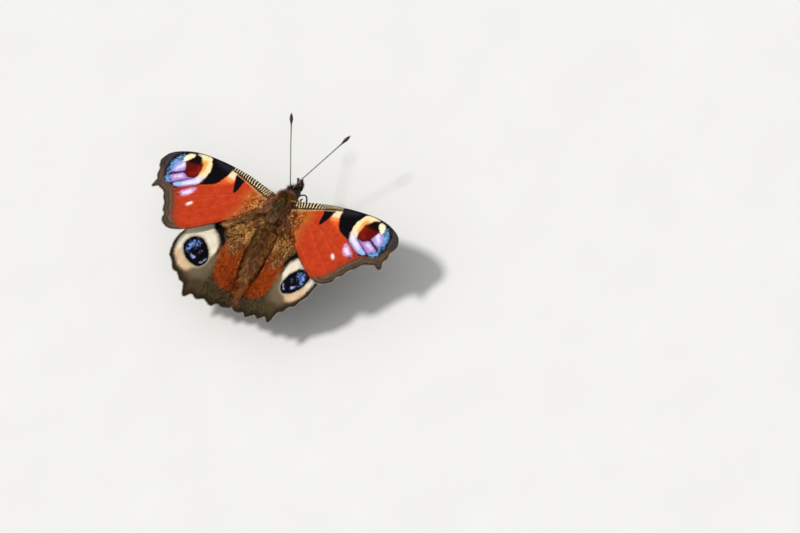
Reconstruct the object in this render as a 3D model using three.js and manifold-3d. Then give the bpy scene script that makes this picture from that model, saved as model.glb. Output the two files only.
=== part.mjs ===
// A life-size peacock butterfly, resting on the floor with its wings spread flat.
// Millimetres, +Z up, +Y the way the head points, +X the animal's own right.
// The driving sizes are measured from the point midway between the two forewing roots,
// which the last lines lift to its height over the floor.

import * as THREE from 'three';
import { mergeVertices } from 'three/addons/utils/BufferGeometryUtils.js';
import Module from 'manifold-3d';

const wasm = await Module();
wasm.setup();

// Stance
const rootHeight = 11.0; // forewing roots over the floor
const rootAheadOfMiddle = 4.57; // forewing roots ahead of the middle of the animal's box
const rootBesideMiddle = -0.015;
const gap = 0.3; // clear space between neighbouring pieces

// Wings
const wingThickness = 0.5;
const wingRows = 9; // steps from root to margin
const veinStep = 5; // length of one straight piece of a vein
const ribHeight = 0.7; // of a vein's half width, over the membrane
const ribSink = 0.6; // of the membrane's half thickness, where a rib stays inside a face

const forewing = {
  root: [2.8, 0, 0],
  raise: 1.75, // degrees that the tip is lifted
  pitch: 1.0, // degrees that the front is lifted
  sweep: { right: 0.9, left: -0.9 }, // degrees that the wing is brought forward
  trailingLift: { height: 0.4, behind: 14 }, // the rear edge bows up
  toothDroop: { depth: 1.2, from: 22, span: 10, ahead: -7, spread: 4 }, // the margin droops round it
};

const hindwing = {
  root: [2.2, -4.5, -1.4],
  raise: 9.0,
  pitch: 8.7,
  sweep: { right: 3.7, left: -3.7 },
  frontDrop: { depth: 0.7, from: -4, to: 2 }, // the front bows down under the forewing
  forewingEdge: { across: 3, ahead: -4, slope: -0.65 }, // where the forewing's rear edge crosses it
  groove: { depth: 2.7, halfWidth: 3.3, start: [-5, -8], end: [-12, -23.5] }, // that the abdomen lies in
  grooveNarrows: { by: 0.45, over: [-13, -24] },
};

// Wing outlines from above, for the right wing: across, ahead of the forewing root
const forewingCosta = [
  [1.3, 0.5], [5.6, 1.3], [10.9, 2.45], [16, 3.05], [21, 3.3], [25.2, 3.1], [28.6, 2.2], [31.2, 0.8],
  [32.3, -1],
];
const forewingMargin = [
  [32.3, -1], [31.9, -2.3], [31.4, -2.9], [31.3, -4.2], [30.8, -5.2], [31.1, -7], [29.7, -6.5],
  [28.6, -6.85], [27.5, -7.15], [26.3, -8.6], [25.1, -9.9], [24.5, -11.3], [23.5, -12.2],
  [23.3, -13.3], [22.2, -14.3], [20.6, -14.8], [19.2, -14.6],
];
const forewingInner = [[1.3, -2.6], [4, -4.2], [9.5, -8.6], [14, -11.9], [17, -13.7], [19.2, -14.6]];

const hindwingCosta = [[1.2, -3], [5.5, -3.7], [10.5, -5.6], [15, -8.2], [17.6, -10.6], [18.8, -13.2]];
const hindwingMargin = [
  [18.8, -13.2], [19.25, -15.2], [19.0, -16.8], [18.6, -18.4], [17.4, -19.7], [16.5, -21.1], [15.2, -21.5],
  [14, -22.75], [12.8, -23.3], [11.6, -25.8], [10.1, -24.75], [8.5, -25.4], [6.8, -24.9], [5, -25.75],
  [3.7, -24.95], [2, -25.2],
];
const hindwingAnalEnd = [[2, -25.2], [1.4, -25.15], [0.9, -24.9], [0.45, -24.55], [0.18, -24.2]];
const hindwingFold = [[1.7, -4.6], [2.9, -7], [3, -10], [2.95, -13], [2.6, -16.2], [2.15, -20], [2, -25.2]];
const hindwingInner = [[1.5, -5.6], [1.5, -7.2], [0.5, -9.6], [0.18, -12], [0.18, -18], [0.18, -24.2]];

// Veins: route from above, half width at each end. A rib stands out on both faces of the wing,
// or on the one face named
const stem = [0.42, 0.3];
const branch = [0.34, 0.26];
const crossVein = [0.26, 0.26];
const forewingVeins = [
  { route: [[2.3, 0.2], [8, 1.3], [14, 2.2], [18.6, 2.75]], width: branch }, // subcosta
  { route: [[2.3, -0.4], [8, 0.4], [13.5, 1], [18, 1.75], [22.8, 2.7]], width: stem }, // radius
  { route: [[12.5, 0.8], [18, 0.9], [24, 1.3], [29.6, 1.1]], width: branch }, // third radial
  { route: [[19, 0.85], [25.5, 0.3], [31.4, -1.4]], width: branch }, // fourth radial
  { route: [[15, 0.4], [23, -1.3], [30.7, -4.1]], width: branch }, // fifth radial
  { route: [[15.6, -0.6], [22.5, -2.8], [27.5, -4.9], [30.5, -6.4]], width: branch }, // first medial
  { route: [[15.2, -2], [21, -4], [27.6, -6.7]], width: branch }, // second medial
  { route: [[2.3, -1.2], [7, -1.9], [11.5, -3], [15, -4.3], [25.7, -8.6]], width: stem }, // cubitus
  { route: [[15.7, 0.3], [15.6, -1.4], [15, -4.2]], width: crossVein }, // end of the cell
  { route: [[12, -3.2], [18, -6.8], [23.8, -11]], width: branch, faces: 'upper' }, // first cubital
  { route: [[8.4, -2.3], [15, -7.8], [22.5, -13.1]], width: branch, faces: 'upper' }, // second cubital
  { route: [[2.4, -2], [8, -6.2], [14, -10.6], [19.6, -14]], width: branch, faces: 'upper' }, // anal
];
const hindwingVeins = [
  { route: [[2.6, -3.7], [8, -5.5], [13.5, -8.4], [17.9, -12.6]], width: branch, faces: 'lower' }, // subcosta
  { route: [[2.6, -4.5], [8, -7.4], [14, -11.8], [18, -17.9]], width: branch, faces: 'lower' }, // radial
  { route: [[9, -8.2], [13.6, -14.4], [16, -20.5]], width: branch }, // first medial
  { route: [[8, -9], [11.5, -15.6], [13.7, -22.2]], width: branch }, // second medial
  { route: [[7.3, -10.4], [9.6, -17.4], [11.4, -25]], width: branch }, // third medial
  { route: [[2.6, -5], [5.2, -7.4], [7.2, -10.4], [8.2, -17.4], [8.4, -24.8]], width: stem }, // cubitus
  { route: [[5.2, -7.6], [5.6, -14], [5, -25.1]], width: branch }, // second cubital
  { route: [[3.1, -6.2], [3.6, -11], [3.4, -17], [2.3, -24.6]], width: branch }, // anal
];

// Body, with its coat: sections ahead of the forewing root, height, half width, half height
const bodySides = 16;
const thoraxSections = [
  [2.35, -1.4, 0, 0], [2.1, -1.4, 1.2, 1.25], [1.3, -1.5, 1.95, 2.1], [0, -1.75, 2.4, 2.6],
  [-1.6, -2, 2.5, 2.8], [-3.3, -2.05, 2.3, 2.6], [-4.9, -2.05, 1.8, 2.1], [-5.9, -2, 1.2, 1.45],
  [-6.2, -2, 0, 0],
];
const abdomen = {
  start: [0, -5.2, -1.75],
  end: [0, -18.6, -3.55],
  turn: 3.3, // degrees that the tip swings to the right
  girth: [1.35, 1.6, 1.72, 1.75, 1.68, 1.5, 1.22, 0.85], // of each segment
  flatness: 0.95,
  waist: 0.95, // of the girth, where one segment meets the next
};
const head = { middle: [0, 3.0, -1.3], half: [1, 1.15, 1.5], sides: 16, rows: 10 };
const eye = { middle: [0.85, 2.95, -1.25], half: [0.75, 0.95, 1.2], sides: 12, rows: 8 };

// Slender parts: routes for the right side, with the radius at each point
const antenna = {
  route: [
    [0.35, 3.1, -0.7], [0.55, 3.65, 0.3], [2.45, 7, 1.3], [4.4, 10.35, 2.25], [6.8, 14.6, 3.4],
    [7.55, 15.95, 3.8], [8.2, 17.05, 4.1],
  ],
  girth: [0.27, 0.27, 0.25, 0.25, 0.27, 0.46, 0.3],
};
const palp = {
  route: [[0.38, 3.3, -2], [0.45, 4.4, -2.05], [0.47, 5.25, -1.65], [0.48, 5.8, -0.75]],
  girth: [0.28, 0.32, 0.33, 0.22],
};
const proboscis = {
  start: [0, 3.3, -2.4],
  neck: [0, 3.65, -3.5],
  coilMiddle: [0, 3.4, -5.45],
  coilRadius: [1.5, 0.65],
  firstAngle: 50, // degrees, seen from the animal's right, from straight ahead
  turns: 1,
  steps: 11,
  girth: [0.27, 0.25],
};
const foreleg = {
  route: [
    [0.75, 0.5, -3.1], [1.05, 0.95, -4], [1.3, 1.65, -4], [1.28, 1.7, -4.5], [1.1, 0.8, -4.9],
    [1, -0.05, -5.05],
  ],
  girth: [0.4, 0.42, 0.33, 0.3, 0.3, 0.25],
};
const walkingLegGirth = [0.6, 0.5, 0.36, 0.33, 0.28, 0.3, 0.28];
const midleg = {
  route: [
    [1.2, -1.0, -4.0], [2.0, -0.9, -5.1], [6.1, 1.0, -4.7], [6.5, 1.25, -5.1], [7.5, 2.2, -9.7],
    [7.9, 2.7, -10.75], [9.6, 4.9, -10.8],
  ],
  girth: walkingLegGirth,
};
const hindleg = {
  route: [
    [1.1, -3.2, -3.9], [1.9, -3.8, -5.2], [6.2, -7.3, -5.0], [6.55, -7.75, -5.4], [7.9, -11.2, -9.8],
    [8.1, -11.9, -10.75], [8.9, -15.2, -10.8],
  ],
  girth: walkingLegGirth,
};

// Finishes
const looks = {
  forewing: { color: 0xc4401f, roughness: 0.75 },
  hindwing: { color: 0x8a5a3a, roughness: 0.8 },
  fur: { color: 0x5a3a1c, roughness: 0.95 },
  eye: { color: 0x2a1f1a, roughness: 0.35 },
  horn: { color: 0x2c2620, roughness: 0.6 },
};

const degrees = Math.PI / 180;
const { lerp, clamp } = THREE.MathUtils;

function toSolid(geometry) {
  geometry.deleteAttribute('normal');
  geometry.deleteAttribute('uv');
  const merged = geometry.userData.whole ? geometry : mergeVertices(geometry, 1e-4);
  const vertProperties = Float32Array.from(merged.attributes.position.array);
  const triVerts = Uint32Array.from(merged.index.array);
  return new wasm.Manifold(new wasm.Mesh({ numProp: 3, vertProperties, triVerts }));
}

function toGeometry(solid) {
  const mesh = solid.getMesh();
  const geometry = new THREE.BufferGeometry();
  geometry.setAttribute('position', new THREE.BufferAttribute(Float32Array.from(mesh.vertProperties), 3));
  geometry.setIndex(Array.from(mesh.triVerts));
  geometry.computeVertexNormals();
  return geometry;
}

function largest(solid) {
  const pieces = solid.decompose();
  return pieces.reduce((best, piece) => (piece.volume() > best.volume() ? piece : best));
}

function closedMesh(points, triangles) {
  const geometry = new THREE.BufferGeometry();
  geometry.setAttribute('position', new THREE.Float32BufferAttribute(points.flat(), 3));
  geometry.setIndex(triangles.flat());
  geometry.userData.whole = true;
  return toSolid(geometry);
}

// A form through rings of points, closed by a point at each end
function throughRings(first, rings, last) {
  const count = rings[0].length;
  const points = [first, ...rings.flat(), last];
  const triangles = [];
  const end = points.length - 1;
  for (let k = 0; k < count; k += 1) {
    const next = (k + 1) % count;
    triangles.push([0, 1 + next, 1 + k]);
    triangles.push([end, end - count + k, end - count + next]);
  }
  for (let r = 0; r < rings.length - 1; r += 1) {
    for (let k = 0; k < count; k += 1) {
      const next = (k + 1) % count;
      const a = 1 + r * count + k;
      const b = 1 + r * count + next;
      triangles.push([a, b, b + count]);
      triangles.push([a, b + count, a + count]);
    }
  }
  const solid = closedMesh(points, triangles);
  return solid.volume() > 0 ? solid : closedMesh(points, triangles.map(([a, b, c]) => [a, c, b]));
}

// A tapered limb along a smooth route, with blunt tips
function limb({ route, girth }, { sides = 8, side = 1 } = {}) {
  const points = route.map(([x, y, z]) => new THREE.Vector3(side * x, y, z));
  const curve = new THREE.CatmullRomCurve3(points, false, 'centripetal');
  const spans = route.length - 1;
  const steps = 2 * spans;
  const samplesPerSpan = 30;
  const frames = curve.computeFrenetFrames(steps, false);
  const lengths = curve.getLengths(samplesPerSpan * spans);
  const knots = route.map((_, i) => lengths[samplesPerSpan * i]);
  const rings = [];
  for (let i = 0; i <= steps; i += 1) {
    const along = (i / steps) * curve.getLength();
    const span = clamp(knots.findIndex((knot) => knot >= along), 1, spans);
    const share = clamp((along - knots[span - 1]) / (knots[span] - knots[span - 1]), 0, 1);
    const radius = lerp(girth[span - 1], girth[span], share);
    const middle = curve.getPointAt(i / steps);
    const ring = [];
    for (let k = 0; k < sides; k += 1) {
      const angle = (2 * Math.PI * (k + 0.5)) / sides;
      const offset = frames.normals[i].clone().multiplyScalar(Math.cos(angle) * radius);
      offset.addScaledVector(frames.binormals[i], Math.sin(angle) * radius);
      ring.push(middle.clone().add(offset).toArray());
    }
    rings.push(ring);
  }
  const tipReach = 0.35; // of the radius
  const first = curve.getPointAt(0).addScaledVector(frames.tangents[0], -girth[0] * tipReach);
  const last = curve.getPointAt(1).addScaledVector(frames.tangents[steps], girth[spans] * tipReach);
  return throughRings(first.toArray(), rings, last.toArray());
}

// A body form through upright sections, grown all over by a clearance
function bodyForm(sections, grown = 0) {
  const [frontY, frontZ] = sections[0];
  const [rearY, rearZ] = sections[sections.length - 1];
  const middleY = (frontY + rearY) / 2;
  const lengthen = 1 + grown / (frontY - middleY);
  const rings = sections.slice(1, -1).map(([y, z, halfWidth, halfHeight]) => {
    const ring = [];
    for (let k = 0; k < bodySides; k += 1) {
      const angle = (2 * Math.PI * k) / bodySides;
      const x = Math.cos(angle) * (halfWidth + grown);
      ring.push([x, middleY + (y - middleY) * lengthen, z + Math.sin(angle) * (halfHeight + grown)]);
    }
    return ring;
  });
  return throughRings([0, frontY + grown, frontZ], rings, [0, rearY - grown, rearZ]);
}

function ball({ middle, half, sides, rows }, { side = 1, grown = 0 } = {}) {
  const geometry = new THREE.SphereGeometry(1, sides, rows);
  geometry.scale(half[0] + grown, half[1] + grown, half[2] + grown);
  geometry.translate(side * middle[0], middle[1], middle[2]);
  return toSolid(geometry);
}

// Wing surfaces

function smoothStep([from, to], value) {
  const share = clamp((value - from) / (to - from), 0, 1);
  return share * share * (3 - 2 * share);
}

function forewingHeight(across, ahead) {
  const { trailingLift, toothDroop } = forewing;
  const lift = trailingLift.height * (ahead / trailingLift.behind) ** 2;
  const outward = Math.max(0, (across - toothDroop.from) / toothDroop.span);
  const nearTooth = Math.exp(-(((ahead - toothDroop.ahead) / toothDroop.spread) ** 2));
  return lift - toothDroop.depth * outward ** 2 * nearTooth;
}

function hindwingHeight(across, ahead) {
  const { frontDrop, forewingEdge, groove, grooveNarrows } = hindwing;
  const beyondEdge = ahead - forewingEdge.ahead - forewingEdge.slope * (across - forewingEdge.across);
  const drop = frontDrop.depth * smoothStep([frontDrop.from, frontDrop.to], beyondEdge);
  const halfWidth = groove.halfWidth * (1 - grooveNarrows.by * smoothStep(grooveNarrows.over, ahead));
  const depth = groove.depth * (1 - smoothStep(groove.end, ahead)) * smoothStep(groove.start, ahead);
  const share = Math.min(1, Math.abs(across) / halfWidth);
  return -drop - depth * (1 - share ** 3);
}

// Puts a point of a wing's own plan into the body's frame
function placer(wing, side) {
  const sweep = side > 0 ? wing.sweep.right : wing.sweep.left;
  const turn = new THREE.Matrix4().makeRotationX(wing.pitch * degrees);
  turn.multiply(new THREE.Matrix4().makeRotationY(-wing.raise * side * degrees));
  turn.multiply(new THREE.Matrix4().makeRotationZ(sweep * side * degrees));
  const [rootX, rootY, rootZ] = wing.root;
  return (across, ahead, up) => {
    const point = new THREE.Vector3(side * (across - rootX), ahead - rootY, up).applyMatrix4(turn);
    return [point.x + side * rootX, point.y + rootY, point.z + rootZ];
  };
}

function onSheet(height, across, ahead, offset) {
  const step = 0.05;
  const slopeAcross = (height(across + step, ahead) - height(across - step, ahead)) / (2 * step);
  const slopeAhead = (height(across, ahead + step) - height(across, ahead - step)) / (2 * step);
  const normal = new THREE.Vector3(-slopeAcross, -slopeAhead, 1).normalize();
  return [across + normal.x * offset, ahead + normal.y * offset, height(across, ahead) + normal.z * offset];
}

function planCurve(points) {
  const curve = new THREE.SplineCurve(points.map(([x, y]) => new THREE.Vector2(x, y)));
  return (share) => curve.getPointAt(share);
}

// A grid of plan points between two long edges, whose columns end at the points of the margin
function planPatch(frontEdge, rearEdge, margin) {
  const front = planCurve(frontEdge);
  const rear = planCurve(rearEdge);
  const columns = margin.length - 1;
  const grid = [];
  for (let r = 0; r <= wingRows; r += 1) {
    const outward = r / wingRows;
    const row = [];
    for (let c = 0; c <= columns; c += 1) {
      const across = c / columns;
      const between = front(outward).clone().lerp(rear(outward), across);
      const straight = front(1).clone().lerp(rear(1), across);
      const pull = new THREE.Vector2(...margin[c]).sub(straight).multiplyScalar(outward ** 3);
      row.push(between.add(pull).toArray());
    }
    grid.push(row);
  }
  return grid;
}

// A thin sheet over a grid, split into triangles alike on both faces
function sheetSolid(grid, height, place, side) {
  const rows = grid.length;
  const columns = grid[0].length;
  const half = wingThickness / 2;
  const plan = grid.flat();
  const face = (offset) => plan.map(([across, ahead]) => place(...onSheet(height, across, ahead, offset)));
  const points = [...face(half), ...face(-half)];
  const under = rows * columns;
  const top = [];
  const distance = (p, q) => Math.hypot(points[p][0] - points[q][0], points[p][1] - points[q][1]);
  for (let r = 0; r < rows - 1; r += 1) {
    for (let c = 0; c < columns - 1; c += 1) {
      const a = r * columns + c;
      const b = a + columns;
      const d = a + 1;
      const e = b + 1;
      if (distance(a, e) < distance(b, d)) top.push([a, d, e], [a, e, b]);
      else top.push([a, d, b], [b, d, e]);
    }
  }
  const triangles = top.flatMap(([a, b, c]) => [[a, b, c], [a + under, c + under, b + under]]);
  const edges = new Set(top.flatMap(([a, b, c]) => [`${a},${b}`, `${b},${c}`, `${c},${a}`]));
  for (const edge of edges) {
    const [p, q] = edge.split(',').map(Number);
    if (!edges.has(`${q},${p}`)) triangles.push([q, p, p + under], [q, p + under, q + under]);
  }
  const facing = side > 0 ? triangles : triangles.map(([a, b, c]) => [a, c, b]);
  return closedMesh(points, facing);
}

// A rib of four sides: a crest and a keel, with its side edges sunk at mid-wing
function veinRib(vein, height, place) {
  const route = new THREE.SplineCurve(vein.route.map(([x, y]) => new THREE.Vector2(x, y)));
  const steps = Math.max(3, Math.round(route.getLength() / veinStep));
  const half = wingThickness / 2;
  const sunk = half * ribSink;
  const rings = [];
  for (let i = 0; i <= steps; i += 1) {
    const plan = route.getPointAt(i / steps);
    const heading = route.getTangentAt(i / steps);
    const width = lerp(...vein.width, i / steps);
    const proud = half + width * ribHeight;
    const crest = vein.faces === 'lower' ? sunk : proud;
    const keel = vein.faces === 'upper' ? sunk : proud;
    const flank = width * (crest + keel) / (2 * half);
    rings.push([
      place(...onSheet(height, plan.x, plan.y, crest)),
      place(...onSheet(height, plan.x - heading.y * flank, plan.y + heading.x * flank, 0)),
      place(...onSheet(height, plan.x, plan.y, -keel)),
      place(...onSheet(height, plan.x + heading.y * flank, plan.y - heading.x * flank, 0)),
    ]);
  }
  const middle = (ring) => new THREE.Vector3(...ring[0]).lerp(new THREE.Vector3(...ring[2]), 0.5).toArray();
  return throughRings(middle(rings[0]), rings, middle(rings[steps]));
}

function wingSolid(wing, grid, height, veins, side) {
  const place = placer(wing, side);
  let solid = sheetSolid(grid, height, place, side);
  for (const vein of veins) solid = solid.add(veinRib(vein, height, place));
  return largest(solid.subtract(thoraxGrown));
}

// Body

const thoraxSolid = bodyForm(thoraxSections);
const thoraxGrown = bodyForm(thoraxSections, gap);
const headGrown = ball(head, { grown: gap });
const headAndEyesGrown = headGrown.add(ball(eye, { grown: gap })).add(ball(eye, { side: -1, grown: gap }));

// Each segment is a short barrel with a waist behind it
function abdomenSolid() {
  const { start, end, turn, girth, flatness, waist } = abdomen;
  const blunt = { at: 0.05, girth: girth[0] * 0.7 };
  const barrels = girth.flatMap((size, i) => [
    { at: (i + 0.35) / girth.length, girth: size },
    { at: (i + 0.92) / girth.length, girth: size * waist },
  ]);
  const sections = [blunt, ...barrels].map((ring) => [
    lerp(start[1], end[1], ring.at), lerp(start[2], end[2], ring.at), ring.girth, ring.girth * flatness,
  ]);
  const straight = bodyForm([[start[1], start[2], 0, 0], ...sections, [end[1], end[2], 0, 0]]);
  const pivot = hindwing.root[1];
  const bent = straight.translate([0, -pivot, 0]).rotate([0, 0, turn]).translate([0, pivot, 0]);
  return largest(bent.subtract(thoraxGrown));
}

// A tongue that hangs from the head in one open coil
function proboscisSolid() {
  const { start, neck, coilMiddle, coilRadius, firstAngle, turns, steps, girth } = proboscis;
  const route = [start, neck];
  for (let i = 0; i <= steps; i += 1) {
    const angle = (firstAngle - (i / steps) * turns * 360) * degrees;
    const radius = lerp(...coilRadius, i / steps);
    route.push([0, coilMiddle[1] + Math.cos(angle) * radius, coilMiddle[2] + Math.sin(angle) * radius]);
  }
  const taper = route.map((_, i) => lerp(...girth, i / (route.length - 1)));
  return largest(limb({ route, girth: taper }, { sides: 6 }).subtract(headAndEyesGrown));
}

const floorBlock = toSolid(new THREE.BoxGeometry(80, 80, 10).translate(0, 0, -rootHeight - 5));

function legSolid(leg, side) {
  return largest(limb(leg, { side }).subtract(thoraxGrown).subtract(floorBlock));
}

function feelerSolid(feeler, side) {
  return largest(limb(feeler, { side }).subtract(headAndEyesGrown));
}

const butterfly = new THREE.Group();
butterfly.position.set(rootBesideMiddle, rootAheadOfMiddle, rootHeight);

function addPart(name, solid, look) {
  const material = new THREE.MeshStandardMaterial({ metalness: 0, ...look });
  const mesh = new THREE.Mesh(toGeometry(solid), material);
  mesh.name = name;
  butterfly.add(mesh);
}

addPart('thorax', thoraxSolid, looks.fur);
addPart('abdomen', abdomenSolid(), looks.fur);
addPart('head', largest(ball(head).subtract(thoraxGrown)), looks.fur);
addPart('proboscis', proboscisSolid(), looks.horn);

const forewingGrid = planPatch(forewingCosta, forewingInner, forewingMargin);
const outerHindwing = planPatch(hindwingCosta, hindwingFold, hindwingMargin);
const innerHindwing = planPatch(hindwingFold, hindwingInner, hindwingAnalEnd);
const hindwingGrid = outerHindwing.map((row, r) => [...row, ...innerHindwing[r].slice(1)]);

for (const [word, side] of [['right', 1], ['left', -1]]) {
  const eyeball = largest(ball(eye, { side }).subtract(headGrown).subtract(thoraxGrown));
  const frontWing = wingSolid(forewing, forewingGrid, forewingHeight, forewingVeins, side);
  const rearWing = wingSolid(hindwing, hindwingGrid, hindwingHeight, hindwingVeins, side);
  addPart(`eye_${word}`, eyeball, looks.eye);
  addPart(`antenna_${word}`, feelerSolid(antenna, side), looks.horn);
  addPart(`palp_${word}`, feelerSolid(palp, side), looks.fur);
  addPart(`forewing_${word}`, frontWing, looks.forewing);
  addPart(`hindwing_${word}`, rearWing, looks.hindwing);
  addPart(`foreleg_${word}`, legSolid(foreleg, side), looks.horn);
  addPart(`midleg_${word}`, legSolid(midleg, side), looks.horn);
  addPart(`hindleg_${word}`, legSolid(hindleg, side), looks.horn);
}

export default butterfly;
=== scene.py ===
import math

import bpy
import numpy as np
from mathutils import Matrix, Vector


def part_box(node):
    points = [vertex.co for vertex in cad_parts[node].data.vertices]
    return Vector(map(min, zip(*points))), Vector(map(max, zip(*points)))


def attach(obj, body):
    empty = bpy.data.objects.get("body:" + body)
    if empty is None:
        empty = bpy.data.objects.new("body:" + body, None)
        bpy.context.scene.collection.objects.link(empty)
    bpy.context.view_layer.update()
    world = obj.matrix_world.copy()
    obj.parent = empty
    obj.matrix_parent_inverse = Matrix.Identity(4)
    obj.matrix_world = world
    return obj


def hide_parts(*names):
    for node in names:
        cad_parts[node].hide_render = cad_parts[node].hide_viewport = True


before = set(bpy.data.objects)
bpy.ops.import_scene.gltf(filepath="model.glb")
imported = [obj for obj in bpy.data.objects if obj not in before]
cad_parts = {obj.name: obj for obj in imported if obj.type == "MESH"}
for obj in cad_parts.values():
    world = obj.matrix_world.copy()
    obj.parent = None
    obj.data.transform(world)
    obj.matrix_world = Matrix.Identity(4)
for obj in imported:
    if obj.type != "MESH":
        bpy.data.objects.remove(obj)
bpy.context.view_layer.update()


# Camera
# It looks down from above the animal's right rear through a very long lens, and is rolled so that the head
# points to the upper right. Its distance and lens give the butterfly the photograph's place and scale.
mm = 0.001
picture = (800, 533)  # pixels
pixels_per_mm = 4.88
roots_in_picture = (283.2, 200.2)  # pixel of the point midway between the forewing roots
azimuth, elevation, roll = (math.radians(angle) for angle in (63.43, 47.81, -34.7))
camera_distance = 4000.0
sensor_width = 36.0

# That point in the frame, read from the thorax, which reaches this far ahead of it and above it.
thorax_ahead_of_roots = 2.35
thorax_above_roots = 0.8
thorax_low, thorax_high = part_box("thorax")
roots = np.array([
    (thorax_low.x + thorax_high.x) / 2 / mm,
    thorax_high.y / mm - thorax_ahead_of_roots,
    thorax_high.z / mm - thorax_above_roots,
])

level_right = Vector((math.cos(azimuth), math.sin(azimuth), 0))
backward = Vector((
    math.sin(azimuth) * math.cos(elevation), -math.cos(azimuth) * math.cos(elevation), math.sin(elevation),
))
level_up = backward.cross(level_right)
rightward = level_right * math.cos(roll) + level_up * math.sin(roll)
upward = level_up * math.cos(roll) - level_right * math.sin(roll)
picture_middle = Vector(roots)
picture_middle += rightward * (picture[0] / 2 - roots_in_picture[0]) / pixels_per_mm
picture_middle -= upward * (picture[1] / 2 - roots_in_picture[1]) / pixels_per_mm

camera_data = bpy.data.cameras.new("camera")
camera_data.sensor_width = sensor_width
camera_data.lens = sensor_width / picture[0] * pixels_per_mm * camera_distance
camera_data.clip_start = 0.1
camera_data.clip_end = 20
camera = bpy.data.objects.new("camera", camera_data)
camera.matrix_world = Matrix.Translation((picture_middle + backward * camera_distance) * mm) @ Matrix((
    rightward, upward, backward,
)).transposed().to_4x4()
bpy.context.scene.collection.objects.link(camera)
bpy.context.scene.camera = camera
bpy.context.scene.view_settings.view_transform = "Standard"


# Floor and light
# A plain pale studio sheet under a high soft sun, with a weak broad light from behind the camera and a pale
# sky that open the shadows.
def linear(hex_colour):
    """The linear value of an sRGB hex colour."""
    parts = [int(hex_colour[i:i + 2], 16) / 255 for i in (1, 3, 5)]
    return (*(p / 12.92 if p <= 0.04045 else ((p + 0.055) / 1.055) ** 2.4 for p in parts), 1.0)


def add(tree, kind, inputs=(), **settings):
    """Adds a node with its settings. Each input is a value, or a socket that is linked to it."""
    made = tree.nodes.new("ShaderNode" + kind)
    for name, value in settings.items():
        setattr(made, name, value)
    for name, value in dict(inputs).items():
        if isinstance(value, bpy.types.NodeSocket):
            tree.links.new(value, made.inputs[name])
        else:
            made.inputs[name].default_value = value
    return made.outputs


def new_material(name, **shader_values):
    """A material with its one shader, which takes the values that are the same all over the surface."""
    material = bpy.data.materials.new(name)
    material.use_nodes = True
    shader = material.node_tree.nodes["Principled BSDF"]
    for socket, value in shader_values.items():
        shader.inputs[socket.replace("_", " ")].default_value = value
    return material, material.node_tree, shader


# Matt card: it gives the eye an almost even pale ground with a faint mottle.
card, tree, shader = new_material("matt_studio_card", Roughness=0.9)
place = add(tree, "TexCoord")["Object"]
grain = add(tree, "TexNoise", {"Vector": place, "Scale": 60.0, "Detail": 4.0})["Fac"]
tint = add(tree, "Mix", {0: grain, 6: linear("#E3E1DB"), 7: linear("#EAE8E3")}, data_type="RGBA")[2]
tree.links.new(tint, shader.inputs["Base Color"])
floor_reach = 4.0
floor_mesh = bpy.data.meshes.new("floor")
floor_corners = [(x * floor_reach, y * floor_reach, 0) for x, y in ((-1, -1), (1, -1), (1, 1), (-1, 1))]
floor_mesh.from_pydata(floor_corners, [], [(0, 1, 2, 3)])
floor_mesh.materials.append(card)
floor = bpy.data.objects.new("floor", floor_mesh)
bpy.context.scene.collection.objects.link(floor)

lamps = {  # the way to it, its strength and its softness in degrees
    "high_sun": ((-0.4, -0.15, 0.9), 2.2, 12),
    "side_fill": ((0.8, -0.5, 0.6), 0.35, 40),
}
for name, (way, strength, softness) in lamps.items():
    lamp_data = bpy.data.lights.new(name, "SUN")
    lamp_data.energy = strength
    lamp_data.angle = math.radians(softness)
    lamp = bpy.data.objects.new(name, lamp_data)
    lamp.location = way
    lamp.rotation_euler = (-Vector(way)).to_track_quat("-Z", "Y").to_euler()
    bpy.context.scene.collection.objects.link(lamp)
world = bpy.data.worlds.new("studio_air")
world.use_nodes = True
world.node_tree.nodes["Background"].inputs["Color"].default_value = linear("#F2F5FA")
world.node_tree.nodes["Background"].inputs["Strength"].default_value = 0.5
bpy.context.scene.world = world


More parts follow.
